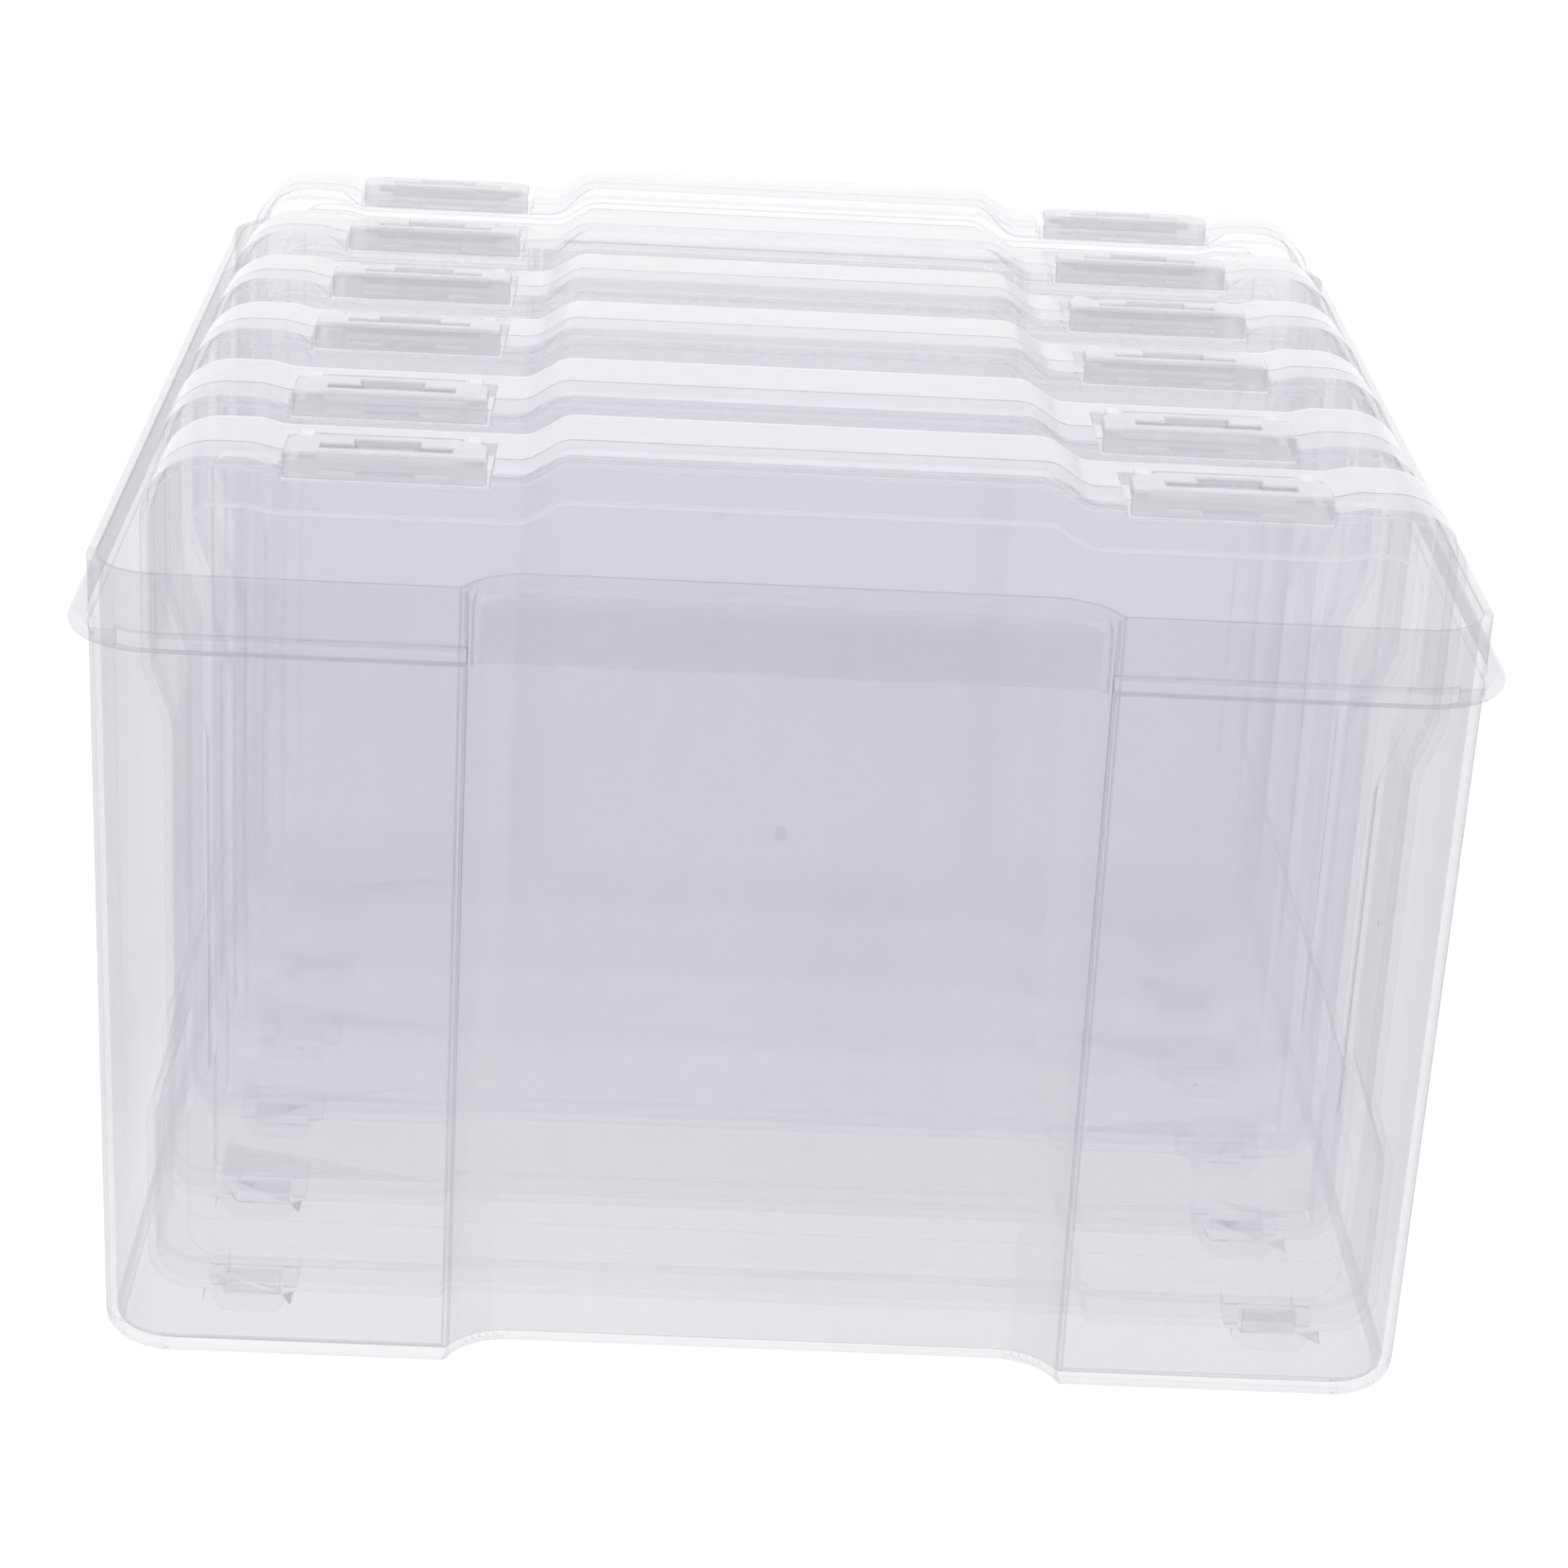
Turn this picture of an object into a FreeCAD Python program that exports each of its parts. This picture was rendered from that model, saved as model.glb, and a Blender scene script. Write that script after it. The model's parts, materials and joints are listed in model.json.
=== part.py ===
"""Card and photo storage box: an open tub that holds six hinged cases with snap latches.

Millimetres, +Z up, front towards -Y. The origin is the middle of the tub's underside.
A case is drawn in its own frame: its seam is the plane y = 0, its lid lies towards -Y,
its tray towards +Y, and z = 0 is the underside of its walls.
"""
import FreeCAD
import Part
import math
import os
import re
import Sketcher

CASE_COUNT = 6
UPRIGHT_COUNT = 2
OUTPUT_FOLDER = "parts"
FRONT = -1
BACK = 1
LEFT = -1
RIGHT = 1
TUB_SIDES = ((FRONT, "front"), (BACK, "back"))
CASE_SIDES = ((LEFT, "left"), (RIGHT, "right"))
QUARTER_TURN = 90

# How near a marked spot an edge or a face must pass, and how steep an upright edge is
EDGE_TOLERANCE_SHARE = 0.001
UPRIGHT_SHARE = 0.9

# Corner and wall numbers of the plans, counted in the order in which their corners are listed
TUB_CORNERS = (0, 1, 2, 3)
RECESS_BED_CORNERS = (0, 3)
RECESS_WALLS = (0, 2, 3)
FLANGE_OUTER_CORNERS = (1, 2, 13, 14)
FLANGE_OUTER_SIDES = ((0, 1), (1, 2), (2, 3), (12, 13), (13, 14), (14, 15))
CATCH_BEND_CORNERS = (1,)
PLATE_BACK_CORNERS = (2, 3)
LAST_CASE_CORNER = 23

# Case corners of the right half that are rounded alike
OUTLINE_ROUNDS = [
    ("corner", (7,), "case_corner_radius"),
    ("base", (2,), "case_base_radius"),
    ("crest", (10, 11), "crest_radius"),
    ("shoulder", (8, 9), "shoulder_radius"),
    ("grip", (3, 4, 5, 6), "grip_radius"),
]
PANEL_ROUNDS = [
    ("panel_corner", (7, 2), "panel_corner_radius"),
    ("panel_crest", (10, 11), "crest_radius"),
    ("panel_shoulder", (8, 9), "shoulder_radius"),
    ("panel_grip", (3, 4, 5, 6), "grip_radius"),
]
CAVITY_ROUNDS = [
    ("corner", (7,), "case_corner_radius - case_wall"),
    ("base", (2,), "case_base_radius - case_wall"),
    ("crest", (10, 11), "crest_radius"),
    ("grip", (3, 4, 5, 6), "grip_radius"),
]

# Driving dimensions
SIZES = [
    # Tub
    ("tub_width", 201.8),
    ("tub_depth", 200.8),
    ("tub_height", 126.8),
    ("tub_draft", 0.9),
    ("tub_wall", 1.6),
    ("tub_floor", 2.0),
    ("tub_corner_radius", 11.0),
    ("tub_base_radius", 3.2),
    # Grip recess in the front and back of the tub
    ("recess_depth", 6.9),
    ("recess_mouth", 92.0),
    ("recess_bed", 85.0),
    ("recess_radius", 9.0),
    ("recess_edge_radius", 0.6),
    ("recess_side_share", 0.6),
    # Flange round the outside of the tub
    ("flange_drop", 8.6),
    ("flange_thickness", 2.2),
    ("flange_reach", 2.8),
    ("flange_edge_radius", 0.9),
    # Catch that bridges each recess under the rim
    ("catch_setback", 1.5),
    ("catch_thickness", 1.6),
    ("catch_height", 11.6),
    ("catch_sink", 0.8),
    ("catch_fall", 0.8),
    ("catch_radius", 1.2),
    # Case outline, seen from the front
    ("case_width", 190.5),
    ("case_height", 137.4),
    ("case_wall", 1.3),
    ("crest_width", 70.6),
    ("crest_ramp", 5.2),
    ("notch_drop", 3.4),
    ("shoulder_span", 159.8),
    ("shoulder_ramp", 3.6),
    ("shoulder_rise", 0.85),
    ("foot_span", 98.4),
    ("foot_rise", 1.3),
    ("grip_low", 30.0),
    ("grip_high", 102.5),
    ("grip_ramp", 8.8),
    ("grip_depth", 3.15),
    ("case_corner_radius", 10.0),
    ("case_base_radius", 6.5),
    ("crest_radius", 5.0),
    ("shoulder_radius", 5.0),
    ("grip_radius", 8.0),
    ("case_edge_radius", 1.5),
    # Case depths and face panels
    ("lid_depth", 8.7),
    ("tray_depth", 13.4),
    ("panel_inset", 6.5),
    ("panel_corner_radius", 5.0),
    ("lid_panel_rise", 0.5),
    ("lid_panel_edge_radius", 0.4),
    ("tray_panel_rise", 4.4),
    ("tray_panel_edge_radius", 2.5),
    # Snap latch
    ("latch_spacing", 120.7),
    ("latch_width", 28.9),
    ("latch_reach", 8.0),
    ("latch_rise", 2.6),
    ("latch_plate", 1.4),
    ("latch_lip", 1.3),
    ("latch_corner_radius", 3.0),
    ("latch_edge_radius", 0.6),
    ("latch_side_clearance", 0.5),
    ("latch_lip_clearance", 0.3),
    ("slot_width", 18.6),
    ("slot_depth", 2.2),
    ("slot_setback", 2.4),
    ("slot_bulge_width", 9.2),
    ("slot_bulge_depth", 2.4),
    ("nub_width", 8.0),
    ("nub_thickness", 1.8),
    ("nub_clearance", 1.2),
    ("nub_drop", 0.6),
    # Latch seat and pivot
    ("seat_drop", 1.8),
    ("seat_depth", 6.9),
    ("pivot_setback", 2.9),
    ("pivot_rise", 0.1),
    ("barrel_radius", 1.6),
    ("barrel_width", 21.0),
    ("pivot_pin_radius", 0.8),
    ("pivot_pin_reach", 2.0),
    ("ear_gap", 0.3),
    ("ear_thickness", 2.4),
    ("ear_depth", 3.6),
    # Hinge under the case
    ("hinge_spacing", 159.4),
    ("lug_height", 3.7),
    ("lug_width", 13.5),
    ("lug_tip_width", 8.6),
    ("lug_setback", 0.8),
    ("knuckle_radius", 1.7),
    ("knuckle_width", 8.2),
    ("knuckle_gap", 0.15),
    ("knuckle_root", 2.2),
    ("hinge_pin_radius", 1.0),
    ("hinge_ear_width", 2.4),
    ("hinge_ear_depth", 5.5),
    ("hinge_ear_gap", 0.3),
    ("hook_mouth", 1.7),
    # Standing in the tub
    ("front_gap", 0.9),
    ("front_shift", 1.6),
    ("upright_gap", 2.1),
    ("lean_gap", 0.25),
    ("leaning_gap", 1.9),
    ("lean_first", 3.1),
    ("lean_step", 0.3),
    ("stand_clearance", 0.3),
    ("running_clearance", 0.1),
    ("overlap", 0.6),
]

# Sizes that follow from the driving dimensions
DERIVED = [
    ("recess_plane", "tub_depth / 2 - recess_depth"),
    ("case_half", "case_width / 2"),
    ("notch_height", "case_height - notch_drop"),
    ("shoulder_height", "case_height - notch_drop + shoulder_rise"),
    ("seat_height", "case_height - notch_drop - seat_drop"),
    ("latch_top", "case_height - notch_drop + latch_rise"),
    ("seat_width", "latch_width + 2 * latch_side_clearance"),
    ("pivot_height", "case_height - notch_drop + pivot_rise"),
    ("hinge_height", "-knuckle_radius - knuckle_gap"),
    ("ear_offset", "barrel_width / 2 + ear_gap"),
    ("hinge_ear_offset", "knuckle_width / 2 + hinge_ear_gap"),
    ("case_thickness", "lid_panel_rise + lid_depth + tray_depth + tray_panel_rise"),
    ("upright_pitch", "case_thickness + upright_gap"),
    ("lean_start", "case_thickness + lean_gap - panel_inset * sin(lean_first)"),
    ("lean_pitch", "case_thickness + leaning_gap"),
    ("first_seam", "front_gap + lid_panel_rise + lid_depth + tub_wall + tub_draft - recess_plane"),
    ("stand_height", "tub_floor + stand_clearance"),
]

document = FreeCAD.newDocument("card_storage_box")
sheet = document.addObject("Spreadsheet::Sheet", "sizes")


def fill_sheet():
    """Write every driving and derived size into the sheet under its own alias."""
    rows = [(name, str(size)) for name, size in SIZES]
    rows += [(name, "=" + formula) for name, formula in DERIVED]
    for row, (name, content) in enumerate(rows, 1):
        sheet.set("A%d" % row, name)
        sheet.set("B%d" % row, content)
        sheet.setAlias("B%d" % row, name)
    document.recompute()


def size(name):
    """Return a size from the sheet as a number."""
    return float(sheet.get(name))


def linked(formula):
    """Return a formula with each size name pointing at its cell of the sheet."""
    names = set(name for name, _ in SIZES) | set(name for name, _ in DERIVED)
    words = re.split("([a-z_]+)", formula)
    return "".join("sizes." + word if word in names else word for word in words)


def bind(item, field, formula):
    """Tie one field of a document object to a formula of sheet sizes."""
    item.setExpression(field, linked(formula))


def place(item, x="0", y="0", z="0"):
    """Tie the three coordinates of an object's placement to formulas."""
    for field, formula in (("x", x), ("y", y), ("z", z)):
        bind(item, "Placement.Base." + field, formula)


def plane(body, role):
    """Return the body's own origin plane that has this role."""
    return [item for item in body.Origin.OriginFeatures if item.Role == role][0]


def outline(body, name, role, loops, lift="0"):
    """Add a sketch of closed straight-sided loops whose corners are tied to formulas."""
    sketch = body.newObject("Sketcher::SketchObject", name)
    sketch.AttachmentSupport = (plane(body, role), [""])
    sketch.MapMode = "FlatFace"
    bind(sketch, "AttachmentOffset.Base.z", lift)
    for corners in loops:
        first = sketch.GeometryCount
        count = len(corners)
        turns = [2 * math.pi * index / count for index in range(count + 1)]
        spots = [FreeCAD.Vector(math.cos(turn), math.sin(turn), 0) for turn in turns]
        for start, end in zip(spots, spots[1:]):
            sketch.addGeometry(Part.LineSegment(start, end), False)
        for side in range(count):
            following = first + (side + 1) % count
            sketch.addConstraint(Sketcher.Constraint("Coincident", first + side, 2, following, 1))
        for side, corner in enumerate(corners):
            for kind, formula, spot in zip(("DistanceX", "DistanceY"), corner, spots[side]):
                constraint = Sketcher.Constraint(kind, -1, 1, first + side, 1, spot)
                bind(sketch, "Constraints[%d]" % sketch.addConstraint(constraint), formula)
    document.recompute()
    return sketch


def raised(body, name, sketch, length, reversed_way=False, middle=False):
    """Pad a sketch to a length."""
    pad = body.newObject("PartDesign::Pad", name)
    pad.Profile = sketch
    pad.Reversed = reversed_way
    if middle:
        pad.SideType = "Symmetric"
    bind(pad, "Length", length)
    document.recompute()
    return pad


def sunk(body, name, sketch, length, reversed_way=False):
    """Pocket a sketch to a depth and check that it took material away."""
    before = body.Shape.Volume
    pocket = body.newObject("PartDesign::Pocket", name)
    pocket.Profile = sketch
    pocket.Reversed = reversed_way
    bind(pocket, "Length", length)
    document.recompute()
    if pocket.Shape.Volume >= before:
        raise RuntimeError(name + " cut nothing")
    return pocket


def block(body, name, kind, lengths, corner):
    """Add or take away a box with its lowest corner and its lengths tied to formulas."""
    box = body.newObject("PartDesign::%sBox" % kind, name)
    for field, formula in zip(("Length", "Width", "Height"), lengths):
        bind(box, field, formula)
    place(box, *corner)
    return box


def rod(body, name, kind, radius, length, start):
    """Add or take away a round rod that runs along +X from its start."""
    cylinder = body.newObject("PartDesign::%sCylinder" % kind, name)
    bind(cylinder, "Radius", radius)
    bind(cylinder, "Height", length)
    cylinder.Placement = FreeCAD.Placement(
        FreeCAD.Vector(), FreeCAD.Rotation(FreeCAD.Vector(0, 1, 0), QUARTER_TURN))
    place(cylinder, *start)
    return cylinder


def rounded(body, name, feature, edges, radius):
    """Round the named edges or faces of a feature."""
    fillet = body.newObject("PartDesign::Fillet", name)
    fillet.Base = (feature, edges)
    bind(fillet, "Radius", radius)
    document.recompute()
    if "Invalid" in fillet.State:
        raise RuntimeError("%s could not round %s" % (name, edges))
    return fillet


def edges_at(feature, spots):
    """Return the names of the feature's edges that pass through any of the spots."""
    markers = Part.Compound([Part.Vertex(spot) for spot in spots])
    return ["Edge%d" % number for number, edge in enumerate(feature.Shape.Edges, 1)
            if edge.distToShape(markers)[0] < edge.Length * EDGE_TOLERANCE_SHARE]


def face_at(feature, spot):
    """Return the name of the feature's flat face that holds the spot."""
    marker = Part.Vertex(spot)
    for number, face in enumerate(feature.Shape.Faces, 1):
        flat = face.Surface.TypeId == "Part::GeomPlane"
        if flat and face.distToShape(marker)[0] < math.sqrt(face.Area) * EDGE_TOLERANCE_SHARE:
            return "Face%d" % number
    raise RuntimeError("no face at %s" % spot)


def sketch_spots(sketch, corners, depth):
    """Return the places of some sketch corners, moved along the sketch's normal."""
    spots = []
    for corner in corners:
        spot = sketch.Geometry[corner].StartPoint
        spots.append(sketch.Placement.multVec(FreeCAD.Vector(spot.x, spot.y, depth)))
    return spots


fill_sheet()


# The tub

def tub_corners(inset):
    """Return the tub's four plan corners at the rim, with its walls moved in by the inset."""
    half_x = "tub_width / 2 - %s" % inset
    half_y = "tub_depth / 2 - %s" % inset
    back = [(half_x, half_y), ("-( %s )" % half_x, half_y)]
    return back + [("-( %s )" % x, "-( %s )" % y) for x, y in back]


def recess_corners(side, inset):
    """Return the plan of one recess at the rim, carried on past the wall it opens through."""
    bed = "recess_bed / 2 + %s * recess_side_share" % inset
    half = [(bed, "recess_plane - %s" % inset),
            (bed + " + recess_mouth - recess_bed", "recess_plane - %s + 2 * recess_depth" % inset)]
    corners = half + [("-( %s )" % x, y) for x, y in reversed(half)]
    if side == FRONT:
        corners = [("-( %s )" % x, "-( %s )" % y) for x, y in corners]
    return corners


def drafted(body, name, corners, rim, depth, walls, widens):
    """Pad a plan down from a rim height and lean the chosen walls by the tub's draft."""
    plan = outline(body, name + "_plan", "XY_Plane", [corners], rim)
    pad = raised(body, name + "_pad", plan, depth, True)
    spots = [sketch_spots(plan, (wall, (wall + 1) % len(corners)), -size("tub_floor")) for wall in walls]
    draft = body.newObject("PartDesign::Draft", name + "_draft")
    draft.Base = (pad, [face_at(pad, (start + end) / 2) for start, end in spots])
    middle = (sketch_spots(plan, (0,), 0)[0] + sketch_spots(plan, (len(corners) // 2,), 0)[0]) / 2
    draft.NeutralPlane = (pad, [face_at(pad, middle)])
    draft.Reversed = not widens
    bind(draft, "Angle", "atan( tub_draft / tub_height )")
    document.recompute()
    return plan, draft


def upright_edges(feature, spots):
    """Return the feature's edges that run down from some spots on the rim."""
    tops = [Part.Vertex(spot) for spot in spots]
    names = []
    for number, edge in enumerate(feature.Shape.Edges, 1):
        upright = abs(edge.Vertexes[0].Z - edge.Vertexes[-1].Z) > edge.Length * UPRIGHT_SHARE
        if upright and min(edge.distToShape(top)[0] for top in tops) < edge.Length * EDGE_TOLERANCE_SHARE:
            names.append("Edge%d" % number)
    return names


def make_tub():
    """Make the open tub: drafted walls, two grip recesses, a flange and two catches."""
    body = document.addObject("PartDesign::Body", "outer_tub")
    plan, walls = drafted(body, "tub", tub_corners("0"), "tub_height", "tub_height", TUB_CORNERS, False)
    edges = upright_edges(walls, sketch_spots(plan, TUB_CORNERS, 0))
    walls = rounded(body, "tub_corner_rounds", walls, edges, "tub_corner_radius")
    spots = []
    for side, name in TUB_SIDES:
        recess = recess_form(name + "_recess", side, "0", "recess_radius")
        cut_away(body, name + "_recess_cut", recess)
        for end in (LEFT, RIGHT):
            mouth_x = end * size("recess_mouth") / 2
            spots.append(FreeCAD.Vector(mouth_x, side * size("tub_depth") / 2, size("tub_height")))
    walls = rounded(body, "recess_edge_rounds", body.Tip, upright_edges(body.Tip, spots),
                    "recess_edge_radius")
    underside = face_at(walls, FreeCAD.Vector(0, 0, 0))
    rounded(body, "tub_base_round", walls, [underside], "tub_base_radius")
    add_flange(body)
    for side, name in TUB_SIDES:
        add_catch(body, name, side)
    cut_away(body, "tub_hollow", inside_form())
    return body


def recess_form(name, side, inset, radius):
    """Make the solid form of one recess, which is cut from the tub or from its inside."""
    body = document.addObject("PartDesign::Body", name + "_form")
    plan, form = drafted(body, name, recess_corners(side, inset), "tub_height", "tub_height + overlap",
                         RECESS_WALLS, True)
    edges = upright_edges(form, sketch_spots(plan, RECESS_BED_CORNERS, 0))
    rounded(body, name + "_rounds", form, edges, radius)
    return body


def cut_away(body, name, form):
    """Cut a finished form out of a body and check that it took material away."""
    before = body.Shape.Volume
    cut = body.newObject("PartDesign::Boolean", name)
    cut.Type = "Cut"
    cut.Group = [form]
    document.recompute()
    if cut.Shape.Volume >= before:
        raise RuntimeError(name + " cut nothing")


def inside_form():
    """Make the solid form of the tub's inside, with the recess walls standing into it."""
    body = document.addObject("PartDesign::Body", "tub_inside_form")
    plan, room = drafted(body, "inside", tub_corners("tub_wall"), "tub_height", "tub_height - tub_floor",
                         TUB_CORNERS, False)
    edges = upright_edges(room, sketch_spots(plan, TUB_CORNERS, 0))
    room = rounded(body, "inside_corner_rounds", room, edges, "tub_corner_radius - tub_wall")
    floor = face_at(room, FreeCAD.Vector(0, 0, size("tub_floor")))
    rounded(body, "inside_floor_round", room, [floor], "tub_base_radius - tub_wall")
    for side, name in TUB_SIDES:
        recess = recess_form(name + "_inside_recess", side, "tub_wall", "recess_radius + tub_wall")
        cut_away(body, name + "_inside_recess_cut", recess)
    return body


def add_flange(body):
    """Add the thin flange that runs round both ends of the tub and stops at the recesses."""
    outer_x = "tub_width / 2 + flange_reach"
    outer_y = "tub_depth / 2 + flange_reach"
    inner_x = "tub_width / 2 - tub_wall"
    inner_y = "tub_depth / 2 - tub_wall"
    mouth_x = "recess_mouth / 2"
    back = [(outer_x, outer_y), (mouth_x, outer_y), (mouth_x, inner_y), (inner_x, inner_y)]
    front = [(x, "-( %s )" % y) for x, y in reversed(back)]
    ring = front[2:] + back + front[:2]
    mirrored = [("-( %s )" % x, y) for x, y in reversed(ring)]
    plan = outline(body, "flange_plan", "XY_Plane", [ring, mirrored],
                   "tub_height - flange_drop - flange_thickness")
    flange = raised(body, "flange", plan, "flange_thickness")
    spots = sketch_spots(plan, FLANGE_OUTER_CORNERS, size("flange_thickness") / 2)
    flange = rounded(body, "flange_corner_rounds", flange, edges_at(flange, spots),
                     "tub_corner_radius + flange_reach")
    rims = []
    for depth in (0, size("flange_thickness")):
        for corners in FLANGE_OUTER_SIDES:
            start, end = sketch_spots(plan, corners, depth)
            rims.append((start + end) / 2)
    rounded(body, "flange_edge_rounds", flange, edges_at(flange, rims), "flange_edge_radius")


def add_catch(body, name, side):
    """Add the catch bar across one recess: a web under the rim with an apron hanging from it."""
    outer = "tub_depth / 2 - catch_setback"
    top = "tub_height - catch_sink"
    corners = [
        ("recess_plane - tub_wall / 2", top),
        (outer, top + " - catch_fall"),
        (outer, "tub_height - catch_height"),
        (outer + " - catch_thickness", "tub_height - catch_height"),
        (outer + " - catch_thickness", top + " - catch_fall - catch_thickness"),
        ("recess_plane - tub_wall / 2", top + " - catch_thickness"),
    ]
    if side == FRONT:
        corners = [("-( %s )" % y, z) for y, z in corners]
    profile = outline(body, name + "_catch_profile", "YZ_Plane", [corners])
    catch = raised(body, name + "_catch", profile, "recess_mouth", middle=True)
    spots = sketch_spots(profile, CATCH_BEND_CORNERS, 0)
    rounded(body, name + "_catch_round", catch, edges_at(catch, spots), "catch_radius")


# The cases

def case_corners(inset, notch):
    """Return the case's outline, seen from the front, with its edges moved in by the inset."""
    side = "case_half - %s" % inset
    grip = "case_half - grip_depth - %s" % inset
    right = [
        ("foot_span / 2", "foot_rise + %s" % inset),
        ("foot_span / 2 + foot_rise", inset),
        (side, inset),
        (side, "grip_low"),
        (grip, "grip_low + grip_ramp"),
        (grip, "grip_high - grip_ramp"),
        (side, "grip_high"),
        (side, "shoulder_height - %s" % inset),
        ("shoulder_span / 2", "shoulder_height - %s" % inset),
        ("shoulder_span / 2 - shoulder_ramp", "%s - %s" % (notch, inset)),
        ("crest_width / 2 + crest_ramp", "%s - %s" % (notch, inset)),
        ("crest_width / 2", "case_height - %s" % inset),
    ]
    return right + [("-( %s )" % x, z) for x, z in reversed(right)]


def both_sides(corners):
    """Return corner numbers of the right half with their mirror images."""
    return [number for corner in corners for number in (corner, LAST_CASE_CORNER - corner)]


def round_outline(body, name, feature, sketch, depth, rounds):
    """Round the upright corners of a padded or pocketed case outline."""
    for part_name, corners, radius in rounds:
        spots = sketch_spots(sketch, both_sides(corners), depth / 2)
        feature = rounded(body, "%s_%s_rounds" % (name, part_name), feature,
                          edges_at(feature, spots), radius)
    return feature


def shell_half(name, depth, panel_rise, panel_edge_radius, side):
    """Make one half of a case: a shallow shell that is open at the seam, with a raised panel."""
    body = document.addObject("PartDesign::Body", name)
    away = side == BACK
    reach = -side * size(depth)
    rim = outline(body, name + "_outline", "XZ_Plane", [case_corners("0", "notch_height")])
    half = raised(body, name + "_block", rim, depth, away)
    half = round_outline(body, name, half, rim, reach, OUTLINE_ROUNDS)
    middle = FreeCAD.Vector(0, side * size(depth), size("case_height") / 2)
    rounded(body, name + "_edge_round", half, [face_at(half, middle)], "case_edge_radius")
    lift = "-( %s )" % depth if away else depth
    panel = outline(body, name + "_panel_outline", "XZ_Plane",
                    [case_corners("panel_inset", "notch_height")], lift)
    half = raised(body, name + "_panel", panel, panel_rise, away)
    panel_reach = -side * size(panel_rise)
    half = round_outline(body, name, half, panel, panel_reach, PANEL_ROUNDS)
    middle.y = side * (size(depth) + size(panel_rise))
    rounded(body, name + "_panel_edge_round", half, [face_at(half, middle)], panel_edge_radius)
    cut_away(body, name + "_cavity_cut", cavity_form(name + "_cavity", depth, side))
    hollow = outline(body, name + "_panel_cavity_outline", "XZ_Plane",
                     [case_corners("( panel_inset + case_wall )", "notch_height")])
    sunk(body, name + "_panel_cavity", hollow, "%s + %s - case_wall" % (depth, panel_rise), not away)
    return body


def cavity_form(name, depth, side):
    """Make the solid form of the room inside one half of a case."""
    body = document.addObject("PartDesign::Body", name + "_form")
    plan = outline(body, name + "_outline", "XZ_Plane", [case_corners("case_wall", "seat_height")])
    room = raised(body, name + "_block", plan, depth + " - case_wall", side == BACK)
    round_outline(body, name, room, plan, -side * (size(depth) - size("case_wall")), CAVITY_ROUNDS)
    return body


def make_lid():
    """Make the front half of a case, with latch seats, catch nubs and hinge hooks."""
    body = shell_half("case_lid", "lid_depth", "lid_panel_rise", "lid_panel_edge_radius", FRONT)
    for side, name in CASE_SIDES:
        centre = "%d * latch_spacing / 2" % side
        block(body, name + "_seat", "Subtractive",
              ("seat_width", "lid_depth + 2 * overlap", "case_height"),
              (centre + " - seat_width / 2", "-lid_depth - overlap", "seat_height"))
        block(body, name + "_nub", "Additive",
              ("nub_width", "nub_thickness", "latch_top - nub_drop - seat_height + overlap"),
              (centre + " - nub_width / 2", "-lid_depth + slot_setback + nub_clearance",
               "seat_height - overlap"))
        add_hinge_hook(body, name, "%d * hinge_spacing / 2" % side)
    document.recompute()
    return body


def add_hinge_hook(body, name, centre):
    """Add one tapered lug under the lid, with the open hook that clips on the tray's pin."""
    half = [("lug_width / 2", "overlap"), ("lug_width / 2", "0"), ("lug_tip_width / 2", "-lug_height")]
    lug = [("%s - %s" % (centre, reach), z) for reach, z in half]
    lug += [("%s + %s" % (centre, reach), z) for reach, z in reversed(half)]
    face = outline(body, name + "_lug_outline", "XZ_Plane", [lug], "knuckle_root")
    raised(body, name + "_lug", face, "lid_depth - lug_setback - knuckle_root")
    start = centre + " - knuckle_width / 2"
    block(body, name + "_hook_neck", "Additive",
          ("knuckle_width", "knuckle_root + overlap", "2 * knuckle_radius"),
          (start, "-knuckle_root - overlap", "hinge_height - knuckle_radius"))
    rod(body, name + "_hook", "Additive", "knuckle_radius", "knuckle_width", (start, "0", "hinge_height"))
    rod(body, name + "_hook_bore", "Subtractive", "hinge_pin_radius + running_clearance",
        "knuckle_width + 2 * overlap", (start + " - overlap", "0", "hinge_height"))
    block(body, name + "_hook_mouth", "Subtractive",
          ("knuckle_width + 2 * overlap", "hook_mouth", "knuckle_radius + overlap"),
          (start + " - overlap", "-hook_mouth / 2", "hinge_height - knuckle_radius - overlap"))


def make_tray():
    """Make the back half of a case, with latch seats, pivot ears and hinge pins."""
    body = shell_half("case_tray", "tray_depth", "tray_panel_rise", "tray_panel_edge_radius", BACK)
    for side, name in CASE_SIDES:
        centre = "%d * latch_spacing / 2" % side
        block(body, name + "_seat", "Subtractive",
              ("seat_width", "seat_depth + overlap", "case_height"),
              (centre + " - seat_width / 2", "-overlap", "seat_height"))
        for end, start in (("left", " - ear_offset - ear_thickness"), ("right", " + ear_offset")):
            block(body, "%s_latch_%s_ear" % (name, end), "Additive",
                  ("ear_thickness", "ear_depth", "pivot_height + barrel_radius - seat_height + overlap"),
                  (centre + start, "pivot_setback - ear_depth / 2", "seat_height - overlap"))
        rod(body, name + "_pivot_bore", "Subtractive", "pivot_pin_radius + running_clearance",
            "seat_width", (centre + " - seat_width / 2", "pivot_setback", "pivot_height"))
        add_hinge_pin(body, name, "%d * hinge_spacing / 2" % side)
    document.recompute()
    return body


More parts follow.
